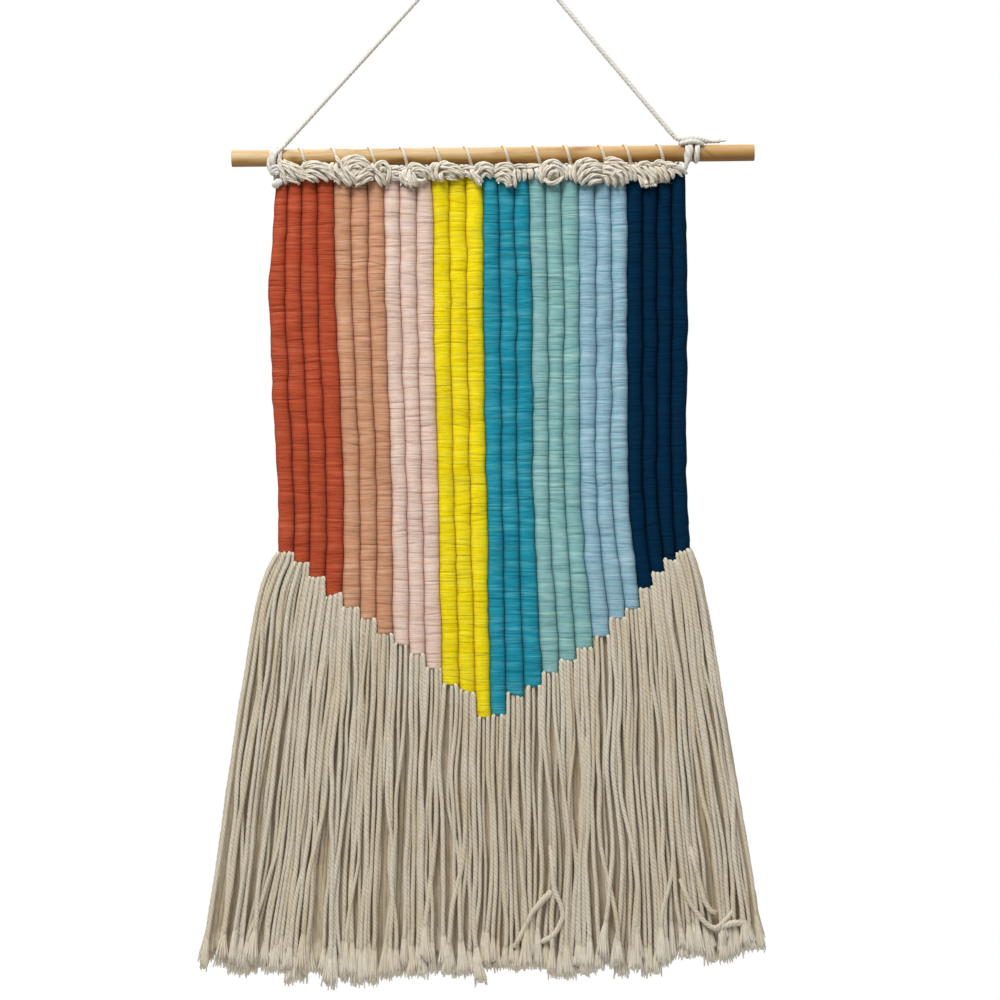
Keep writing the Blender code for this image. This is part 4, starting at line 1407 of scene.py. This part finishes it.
@dataclass
class Heading:
    """The row of knots under the rod, over a bar of cords, with the cord that lashes it on."""

    left: float = -162.8
    right: float = 153.6
    plain_top: float = 7.6
    back: float = 5.2
    plain_front: float = 7.4
    turn_pitch: float = 3.2
    turn_radius: float = 1.6
    turn_points: int = 25
    end_turns: float = 6.0
    end_turn_share: float = 0.72
    end_radius: float = 2.6
    core_radius: float = 3.9
    core_y: float = -1.0
    holding_radius: float = 1.8
    holding_places: tuple[tuple[float, float], ...] = ((0.4, 8.55), (4.4, 7.65))
    stub_count: int = 10
    stub_radius: float = 1.75
    stub_half_width: float = 4.5
    stub_half_depth: float = 4.0
    lump_y: float = -4.8
    lump_behind: float = 3.6
    lump_inset: float = 1.6
    lump_points: int = 9
    knot_front: float = -7.6
    tuck: float = 2.4
    fullness: float = 1.04
    ply_offset: float = 0.52
    ply_share: float = 0.56
    lashing_radius: float = 1.55
    lashing_slant: float = 7.0
    lashing_start: float = -161.5
    lashing_squash: float = 0.7
    lashing_points: int = 24
    lashing_rise: float = 0.36

    def foot_at(self, x: float) -> float:
        """The height of the column heads near a place."""
        return -min(c.head for c in COLUMNS if abs(c.head_x - x) < 9.0)

    def build_turns(self, builder: MeshBuilder, chance: np.random.Generator) -> None:
        """Turn cords over the bar, side by side, which show from behind.

        Args:
            builder: The mesh that takes them.
            chance: The source of random numbers.
        """
        a = around(self.turn_points)
        for x in np.arange(self.left + 1.5, self.right - 1.0, self.turn_pitch):
            high, low = rod_z(x) - self.plain_top, self.foot_at(x) - 0.4
            near = min(x - self.left, self.right - x, self.end_turns) / self.end_turns
            size = self.end_turn_share + (1 - self.end_turn_share) * near
            half_y = ((self.back + self.plain_front) / 2 - self.turn_radius) * size
            half_z = ((high - low) / 2 - self.turn_radius * 0.6) * size
            lean = chance.uniform(-1.1, 1.1)
            loop = np.stack([
                x + lean * np.cos(a) + chance.uniform(-0.3, 0.3),
                (self.back - self.plain_front) / 2 + half_y * np.sin(a),
                (high + low) / 2 + half_z * np.cos(a),
            ], axis=1)
            closed = smooth_line(np.vstack([loop, loop[:1]]), BAR_LAY.step)
            builder.add_cord(closed, self.turn_radius * chance.uniform(0.92, 1.1), BAR_LAY,
                             chance.uniform(0.1, 0.8), any_turn(chance))

    def build_bar(self, builder: MeshBuilder) -> None:
        """Lay the bar inside the turns, its end at the left, and the cords that hold it to the rod.

        Args:
            builder: The mesh that takes them.
        """
        end = ((self.left - 3.0, -1.0, -192.5), (self.left - 2.6, -1.5, -198.0), (self.left - 1.4, -1.5, -206.0))
        builder.add_cord(smooth_line(end, 2.0), self.end_radius, BAR_LAY, 0.6)
        along = np.arange(self.left + 2, self.right - 1.5, CORE_LAY.step)
        half_way = [(rod_z(x) - self.plain_top + self.foot_at(x)) / 2 for x in along]
        core = np.stack([along, np.full(len(along), self.core_y), half_way], axis=1)
        builder.add_cord(core, self.core_radius, CORE_LAY, 1.0)
        for y, low in self.holding_places:
            holding = np.stack([along, np.full(len(along), y), rod_z(along) - low], axis=1)
            builder.add_cord(holding, self.holding_radius, HOLDING_LAY, 0.8)

    def build_stubs(self, builder: MeshBuilder, chance: np.random.Generator) -> None:
        """Bring the bar's cords down into the head of each column.

        Args:
            builder: The mesh that takes them.
            chance: The source of random numbers.
        """
        for column in COLUMNS:
            for a in around(self.stub_count):
                x, y = column.head_x + self.stub_half_width * math.cos(a), self.stub_half_depth * math.sin(a)
                top = rod_z(x) - self.plain_top - 4.5
                line = (
                    (x + chance.uniform(-0.8, 0.8), y - 1.0, top),
                    (x, y, (top - column.head) / 2 - 1.0),
                    (x - 1.2 * math.cos(a), y * 0.8, -column.head - 1.2),
                )
                builder.add_cord(smooth_line(line, BAR_LAY.step), self.stub_radius, BAR_LAY,
                                 chance.uniform(0.1, 0.7), any_turn(chance))

    def build_lump(self, builder: MeshBuilder, knot: Knot) -> None:
        """Fill a knot behind its cords.

        Args:
            builder: The mesh that takes it.
            knot: The knot.
        """
        middle, half = (knot.left + knot.right) / 2, (knot.right - knot.left) / 2 - 1.0
        high, low = rod_z(middle) - knot.top - self.lump_inset, -knot.foot + self.lump_inset
        along = np.linspace(-0.8, 0.8, self.lump_points)
        level = np.ones(self.lump_points)
        spine = np.stack([middle + half * along, self.lump_y * level, (high + low) / 2 * level], axis=1)
        thick = np.sqrt(1 - along**2) * min((high - low) / 2, knot.front - self.lump_behind)
        builder.add_cord(spine, thick, LUMP_LAY, 0.6)

    def knot_line(self, row: KnotCord, chance: np.random.Generator) -> tuple[np.ndarray, np.ndarray, np.ndarray]:
        """Where a knot's cord lies, in front of the rod and with its ends tucked in, and how thick it is.

        Args:
            row: The cord.
            chance: The source of random numbers.

        Returns:
            Its line, its radius at each point, and the distance along it before it is bent.
        """
        start, end = (self.fullness * w * GRID / 2 for w in (row.width, row.end_width))
        line = smooth_line(from_grid(row.path), KNOT_LAY.step)
        place = np.abs(np.linspace(-1, 1, len(line)))
        reach = travelled(line)
        line[:, 0] += 0.35 * uneven(reach, 4.0, chance)
        line[:, 2] += 0.3 * uneven(reach, 4.0, chance)
        thick = np.linspace(start, end, len(line)) * (1 + 0.14 * uneven(reach, 4.0, chance))
        y = self.knot_front - row.lift + self.tuck * place**3 + 0.5 * uneven(reach, 6.0, chance)
        round_rod = ROD_RADIUS + thick - 0.2
        height = np.clip(line[:, 2] - rod_z(line[:, 0]), -round_rod, round_rod)
        line[:, 1] = np.minimum(y, -np.sqrt(round_rod**2 - height**2))
        return line, thick * (1 - 0.22 * place**6), reach

    def build_knot_cord(self, builder: MeshBuilder, row: KnotCord, chance: np.random.Generator) -> None:
        """Twist one cord of a knot from its plies.

        Args:
            builder: The mesh that takes it.
            row: The cord.
            chance: The source of random numbers.
        """
        line, thick, reach = self.knot_line(row, chance)
        side, up = frames_along(line)
        turn = any_turn(chance) - 2 * math.pi * reach / chance.uniform(18.0, 44.0)
        tone = chance.uniform(0.0, 0.5)
        for start in around(PLIES):
            across, over = (self.ply_offset * thick * f(turn + start) + 0.12 * uneven(reach, 3.0, chance)
                            for f in (np.cos, np.sin))
            strand = line + across[:, None] * side + over[:, None] * up
            builder.add_cord(strand, self.ply_share * thick * (1 + 0.1 * uneven(reach, 3.5, chance)), KNOT_LAY,
                             tone + chance.uniform(-0.1, 0.2), any_turn(chance))

    def build_loose_end(self, builder: MeshBuilder, loose: LooseEnd, chance: np.random.Generator) -> None:
        """Lay a short cord over the knots and fray it.

        Args:
            builder: The mesh that takes it.
            loose: The cord.
            chance: The source of random numbers.
        """
        line = smooth_line(loose.points, KNOT_LAY.step)
        builder.add_cord(line, np.linspace(loose.start_radius, loose.end_radius, len(line)), KNOT_LAY, 0.15)
        builder.add_fibres(line[-1], unit(line[-1] - line[-3]), loose.frayed, length=2.6, spread=1.3, radius=0.32,
                           tone=0.1, chance=chance)

    def lashing_line(self) -> np.ndarray:
        """Spiral round the rod and dip into the knots at each turn.

        Returns:
            The lashing cord's line.
        """
        reach = ROD_RADIUS + self.lashing_radius * self.lashing_squash - 0.3
        half = self.lashing_slant / 2
        points = []
        for before, x in zip((self.lashing_start, *LASHING_X), LASHING_X):
            for share in np.arange(0, 1, 1 / self.lashing_points):
                if share < 0.5:
                    rise = ease(min(share / self.lashing_rise, 1.0))
                    across = before + half + (x - before - 2 * half) * rise
                else:
                    across = x - half + 2 * half * (share - 0.5) / 0.5
                a = math.pi - 2 * math.pi * share
                dip = (rod_z(across) - self.foot_at(across) + self.plain_top) / 2
                lift = reach + (dip - reach) * max(-math.cos(a), 0.0) ** 4
                points.append((across, reach * math.sin(a), rod_z(across) + lift * math.cos(a)))
        return np.array(points)

    def build(self, finish: bpy.types.Material, lashing_finish: bpy.types.Material,
              chance: np.random.Generator) -> list[bpy.types.Object]:
        """Tie the heading and lash it on.

        Args:
            finish: The knots' cotton.
            lashing_finish: The lashing's cotton.
            chance: The source of random numbers.

        Returns:
            The bar, the knots and the lashing.
        """
        bar, knots, lashing = MeshBuilder(), MeshBuilder(), MeshBuilder()
        self.build_turns(bar, chance)
        self.build_bar(bar)
        self.build_stubs(bar, chance)
        for knot in KNOTS:
            self.build_lump(knots, knot)
        for row in KNOT_CORDS:
            self.build_knot_cord(knots, row, chance)
        for loose in LOOSE_ENDS:
            self.build_loose_end(knots, loose, chance)
        line = smooth_line(self.lashing_line(), LASHING_LAY.step)
        lashing.add_cord(line, self.lashing_radius, LASHING_LAY, 0.2, squash=self.lashing_squash,
                         frames=frames_facing(line, out_of_rod(line)))
        return [
            bar.build("heading_bar", finish, "cotton", "heading"),
            knots.build("heading_knots", finish, "cotton", "heading"),
            lashing.build("lashing_cord", lashing_finish, "cotton", "heading"),
        ]


@dataclass
class WoundColumn:
    """A bundle of cords wound with yarn: uneven turns, with creases where they part, and painted shade in the creases
    and along its sides.
    """

    number: int
    row: Column
    depth: float = 12.4
    sides: int = 14
    ring_step: float = 1.9
    ring_gap: float = 0.22
    pressed: float = 0.25
    tuck: float = 1.0
    swells: tuple[tuple[float, float], ...] = ((0.022, 24.0), (0.018, 8.0), (0.010, 3.0))
    crease_tries: int = 200
    crease_gap: float = 1.5
    crease_least: float = 0.008
    crease_most: float = 0.072
    crease_width: float = 0.4
    foot_length: float = 16.0
    tilt: float = 1.1
    # How strongly shade is painted at the column's sides, where it meets its neighbours.
    painted_valley_shade: float = 0.6

    def creases(self, chance: np.random.Generator) -> tuple[np.ndarray, np.ndarray]:
        """Where the turns part, and how deeply.

        Args:
            chance: The source of random numbers.

        Returns:
            Drops and depths as shares of the radius.
        """
        gaps = chance.gamma(2.2, 2.4, self.crease_tries) + self.crease_gap
        drops = self.row.head + np.cumsum(gaps)
        depths = self.crease_least + self.crease_most * chance.random(self.crease_tries) ** 2.2
        keep = drops < self.row.foot - 1.5
        return drops[keep], depths[keep]

    def ring_drops(self, crease_at: np.ndarray) -> np.ndarray:
        """Where the mesh has its rings: at an even step, and closer at the creases and the ends.

        Args:
            crease_at: The drops of the creases.

        Returns:
            The drops, in rising order.
        """
        head, foot = self.row.head - self.tuck, self.row.foot
        side = 1.6 * self.crease_width
        drops = np.concatenate((np.arange(head + 3.0, foot - 0.7, self.ring_step),
                                crease_at - side, crease_at, crease_at + side))
        drops = np.sort(drops[(drops > head + 2.6) & (drops < foot - 0.6)])
        drops = drops[np.concatenate(([True], np.diff(drops) > self.ring_gap))]
        return np.concatenate(([head, head + 0.6, head + 1.8], drops, [foot - 0.4, foot]))

    def build(self, layout: Layout, finish: bpy.types.Material,
              chance: np.random.Generator) -> bpy.types.Object:
        """Wind the column and dress it.

        Args:
            layout: Where its neighbours are.
            finish: The yarn.
            chance: The source of random numbers.

        Returns:
            The column.
        """
        row = self.row
        crease_at, crease_depth = self.creases(chance)
        drops = self.ring_drops(crease_at)
        size = 1 + sum(share * uneven(drops, length, chance) for share, length in self.swells)
        hollow = np.zeros(len(drops))
        for at, deep in zip(crease_at, crease_depth):
            hollow = np.maximum(hollow, deep * np.exp(-((drops - at) / self.crease_width) ** 2))
        size -= hollow
        size[:3] *= (0.74, 0.88, 0.96)
        size[-2:] *= (0.95, 0.86)
        near_foot = np.clip((drops - row.foot + self.foot_length) / self.foot_length, 0, 1)
        share = 1 + (row.foot_share + 0.03 - 1) * near_foot
        left, right = layout.edge(self.number, drops), layout.edge(self.number + 1, drops)
        half = ((right - left) / 2 + self.pressed) * share * (1 + (size - 1) * 0.3)
        half[:3] *= (0.96, 0.99, 1.0)
        deep = self.depth / 2 * size * (0.5 + 0.5 * share)
        ends = np.clip(np.minimum(drops - drops[0], row.foot - drops) / 12, 0, 1)
        tilt = self.tilt * uneven(drops, 22.0, chance) * ends + row.foot_slant / 2 * near_foot
        a = around(self.sides)
        bluff = np.sign(np.cos(a)) * np.abs(np.cos(a)) ** 0.96
        lumps = np.stack([0.012 * uneven(drops, 6.0, chance) for _ in a], axis=1)
        rings = np.stack([
            ((left + right) / 2)[:, None] + half[:, None] * bluff * (1 + lumps * np.abs(np.sin(a))),
            deep[:, None] * np.sin(a) * (1 + lumps),
            -drops[:, None] - tilt[:, None] * np.cos(a),
        ], axis=-1)
        # Painted shade: the ply value falls at the sides, where the column meets its neighbours, and in the creases,
        # and the yarn darkens there.
        open_air = 1 - self.painted_valley_shade * np.abs(np.cos(a)) ** 8
        ply = (1 - np.clip(hollow / 0.07, 0, 1) * 0.75)[:, None] * open_air
        builder = MeshBuilder()
        builder.add_rings(rings[:, ::-1], ply[:, ::-1], 0.0)
        name = f"column_{self.number + 1:02d}"
        return builder.build("wound_" + name, finish, row.yarn.value, name)


@dataclass
class Fringe:
    """The loose twisted cords under a column, frayed at the hem."""

    number: int
    row: Column
    fewest: int = 3
    stagger: float = 0.9
    inner_rise: float = 6.0
    inner_tone: float = 0.8
    root_depth: float = 1.2
    root_step: float = 1.2
    root_end: float = 6.0
    free_length: float = 60.0
    wander: float = 1.7
    stray_share: float = 0.3
    brush_length: float = 25.0
    brush_step: float = 3.4
    drift_y: float = -8.6
    drift_step: float = 1.2
    builder: MeshBuilder = field(default_factory=MeshBuilder)

    def fall_line(self, layout: Layout, rank: FringeRow, part: float, y: float, length: float,
                  chance: np.random.Generator) -> np.ndarray:
        """A cord's line from inside the column's foot to the hem.

        Args:
            layout: Where the fringes meet.
            rank: The row that the cord is in.
            part: Its place between the fringe's left and right sides.
            y: Its depth.
            length: How far it falls.
            chance: The source of random numbers.

        Returns:
            The line.
        """
        row, last = self.row, len(COLUMNS) - 1
        near = np.arange(-self.root_depth + 1.7 * abs(2 * part - 1) ** 2, self.root_end, self.root_step)
        d = np.concatenate((near, np.arange(near[-1] + rank.lay.step, length + rank.lay.step, rank.lay.step)))
        left, right = (layout.seam(self.number + k, row.foot + d) for k in (0, 1))
        gather = 0.84 + 0.2 * ease(np.clip((d + self.root_depth) / (self.root_depth + 1.4), 0, 1))
        narrow = min(row.foot_share, 0.96)
        gather = gather * (narrow + (1 - narrow) * np.clip(d / 25.0, 0, 1))
        x = (left + right) / 2 + (part - 0.5) * (right - left) * gather
        free = np.clip(d / self.free_length, 0, 1)
        outward = {0: -1, last: 1}.get(self.number, 0)
        held = 1 - 0.75 * max(outward * (2 * part - 1), 0.0)
        strays = uneven(d, 62.0, chance) + 0.45 * uneven(d, 24.0, chance)
        x = x + self.wander * rank.loose * free * held * strays
        y = y * (1.6 * gather - 0.64) + free * (1.2 * uneven(d, 48.0, chance) + 0.12 * y)
        if rank.loose and chance.random() < self.stray_share:
            from_here = (d / length - chance.uniform(0.05, 0.75)) / chance.uniform(0.2, 0.4)
            crossing = ease(np.clip(from_here, 0, 1))
            either = chance.choice((-1, 1))
            x = x + chance.uniform(4.0, 13.0) * (-outward or either) * crossing * (0.3 + 0.7 * d / length)
            y = y + math.copysign(2.2, y[0]) * crossing
        slant = row.foot_slant * (part - 0.5)
        return np.stack([x, y, -row.foot - slant - d], axis=1)

    def build(self, layout: Layout, finish: bpy.types.Material,
              chance: np.random.Generator) -> bpy.types.Object:
        """Let the cords fall and fray them.

        Args:
            layout: Where the columns are.
            finish: The cotton.
            chance: The source of random numbers.

        Returns:
            The fringe.
        """
        fall = self.row.hem - self.row.foot
        drops = np.arange(self.row.foot, self.row.hem, 10.0)
        width = layout.seam(self.number + 1, drops) - layout.seam(self.number, drops)
        for rank in FRINGE_ROWS:
            at_hem, at_widest = round(width[-1] / rank.pitch), math.ceil(width.max() / rank.pitch)
            count = max(self.fewest, at_hem) if rank.loose else at_widest
            for order in range(count):
                part = (order + rank.phase + chance.uniform(-0.22, 0.22) * rank.loose) / count
                length = fall + chance.uniform(-11.0, 0.5) - self.inner_rise * (not rank.loose)
                stagger = (self.stagger if order % 2 else -self.stagger) * rank.loose
                y = rank.y + stagger + chance.uniform(-0.5, 0.4)
                line = self.fall_line(layout, rank, part, y, length, chance)
                radius, tone = rank.radius, self.inner_tone
                if rank.loose:
                    radius *= chance.uniform(0.8, 1.16)
                    tone = 0.75 * chance.beta(1.6, 2.4)
                self.add_cord(line, rank, tone, radius, chance)
        for drift in DRIFTS:
            if drift.fringe == self.number + 1:
                self.add_drift(drift, chance)
        name = f"fringe_{self.number + 1:02d}"
        return self.builder.build("cotton_" + name, finish, "cotton", name)

    def add_cord(self, line: np.ndarray, rank: FringeRow, tone: float, radius: float,
                 chance: np.random.Generator) -> None:
        """Twist one cord and fray its end.

        Args:
            line: Where it falls.
            rank: The row that it is in.
            tone: From 0, pale, to 1, warm.
            radius: Its radius.
            chance: The source of random numbers.
        """
        reach = travelled(line)
        split = int(np.searchsorted(reach, reach[-1] - self.brush_length * chance.uniform(0.75, 1.4)))
        thick = radius * (0.88 + 0.12 * np.clip(reach / 12.0, 0, 1)) * (1 + 0.07 * uneven(reach, 26.0, chance))
        lay = rank.lay._replace(pitch=rank.lay.pitch * chance.uniform(0.85, 1.2))
        body = line[:split + 3]
        slim = np.ones(len(body))
        slim[-2:] = (0.85, 0.6)
        self.builder.add_cord(body, thick[:split + 3] * slim, lay, tone, any_turn(chance),
                              frames=hanging_frames(body), crest_ply=rank.crest_ply)
        widen = chance.uniform(0.7, 1.9)
        tip = smooth_line(line[split:], self.brush_step)
        self.builder.add_brush(tip, thick[split], widen, tone * 0.8, rank.locks, chance)

    def add_drift(self, drift: Drift, chance: np.random.Generator) -> None:
        """Lay a cord that has fallen across the others, in front of them.

        Args:
            drift: The cord.
            chance: The source of random numbers.
        """
        places = from_grid(drift.path, self.drift_y)
        places[[0, -1], 1] += (drift.start_tuck, 3.2)
        line = smooth_line(places, self.drift_step)
        thick = smooth_through((0, 0.35, 1), drift.radii, np.linspace(0, 1, len(line)))
        thick = thick * (1 + 0.06 * uneven(travelled(line), 8.0, chance))
        self.builder.add_cord(line, thick, FRINGE_LAY._replace(furrow=0.28, sides=9), chance.uniform(0, 0.4))


@dataclass
class Studio:
    """The camera, the soft light and the pale floor."""

    middle: Vector = field(default_factory=lambda: Vector((0.008, 0.0, -0.461)))
    distance: float = 3.0
    lens: float = 135.0
    floor_z: float = -1.5

    def add_camera(self) -> None:
        """Set the camera square to the hanging, as in the photograph."""
        data = bpy.data.cameras.new("camera")
        data.lens = self.lens
        data.clip_start, data.clip_end = 0.1, 50.0
        camera = bpy.data.objects.new("camera", data)
        camera.location = self.middle + Vector((0.0, -self.distance, 0.0))
        camera.rotation_euler = (math.pi / 2, 0.0, 0.0)
        bpy.context.scene.collection.objects.link(camera)
        bpy.context.scene.camera = camera

    def add_light(self, name: str, place: Vector, size: float, power: float) -> None:
        """Add a soft square light that faces the hanging.

        Args:
            name: Its name.
            place: Where it stands.
            size: Its side in metres.
            power: Its power in watts.
        """
        data = bpy.data.lights.new(name, "AREA")
        data.shape, data.size, data.energy = "SQUARE", size, power
        light = bpy.data.objects.new(name, data)
        light.location = place
        light.rotation_euler = (self.middle - place).to_track_quat("-Z", "Y").to_euler()
        bpy.context.scene.collection.objects.link(light)

    def add_world(self, brightness: float) -> None:
        """Make a white surround that lights the hanging more softly than it looks.

        Args:
            brightness: How strongly it lights the hanging.
        """
        world = bpy.data.worlds.new("white_surround")
        nodes = NodeTree(world)
        shown = world.node_tree.nodes["Background"]
        nodes.feed(shown, {"Color": (1.0, 1.0, 1.0, 1.0), "Strength": 1.0})
        spot = nodes.add("ShaderNodeTexCoord").outputs["Generated"]
        height = nodes.add("ShaderNodeSeparateXYZ", {0: spot}).outputs["Z"]
        level = nodes.add("ShaderNodeMapRange", {
            "Value": height, "From Min": -0.1, "From Max": 0.9, "To Min": 0.02, "To Max": 1.25,
        }).outputs[0]
        lighting = nodes.add("ShaderNodeBackground", {"Color": level, "Strength": brightness})
        is_seen = nodes.add("ShaderNodeLightPath").outputs["Is Camera Ray"]
        mix = nodes.add("ShaderNodeMixShader", {0: is_seen, 1: lighting.outputs[0], 2: shown.outputs[0]})
        nodes.feed(world.node_tree.nodes["World Output"], {"Surface": mix.outputs[0]})
        bpy.context.scene.world = world

    def add_floor(self) -> None:
        """Lay the plain pale floor far below the fringe."""
        graph = Graph("pale_floor")
        graph.feed(graph.shader, {"Base Color": (0.8, 0.8, 0.79, 1.0), "Roughness": 0.8})
        corners = [(-1.6, -1.5, 0), (1.6, -1.5, 0), (1.6, 1.5, 0), (-1.6, 1.5, 0)]
        mesh = bpy.data.meshes.new("floor")
        mesh.from_pydata(corners, [], [(0, 1, 2, 3)])
        mesh.materials.append(graph.material)
        floor = bpy.data.objects.new("floor", mesh)
        floor.location = (0.0, 0.0, self.floor_z)
        bpy.context.scene.collection.objects.link(floor)

    def build(self) -> None:
        """Set up the whole studio."""
        self.add_camera()
        self.add_world(brightness=0.9)
        self.add_light("key", Vector((-0.6, -1.25, 1.3)), size=0.9, power=40.0)
        self.add_light("back_fill", Vector((0.9, 1.7, 0.6)), size=1.4, power=14.0)
        self.add_floor()
        bpy.context.scene.view_settings.view_transform = "Standard"


def main() -> None:
    """Build the studio, then the hanging from the hook down."""
    logging.basicConfig(level=logging.INFO, format="%(message)s")
    chance = np.random.default_rng(SEED)
    Studio().build()
    cord_cotton, knot_cotton = CORD_COTTON.material(), KNOT_COTTON.material()
    fringe_cotton = FRINGE_COTTON.material()
    HangingCord().build(cord_cotton)
    Rod().build(chance)
    Hitches().build(cord_cotton, chance)
    Heading().build(knot_cotton, LASHING_COTTON.material(), chance)
    layout = Layout(chance)
    yarns = {yarn: finish.material() for yarn, finish in YARN_FINISHES.items()}
    for number, row in enumerate(COLUMNS):
        WoundColumn(number, row).build(layout, yarns[row.yarn], chance)
        Fringe(number, row).build(layout, fringe_cotton, chance)


if __name__ == "__main__":
    main()
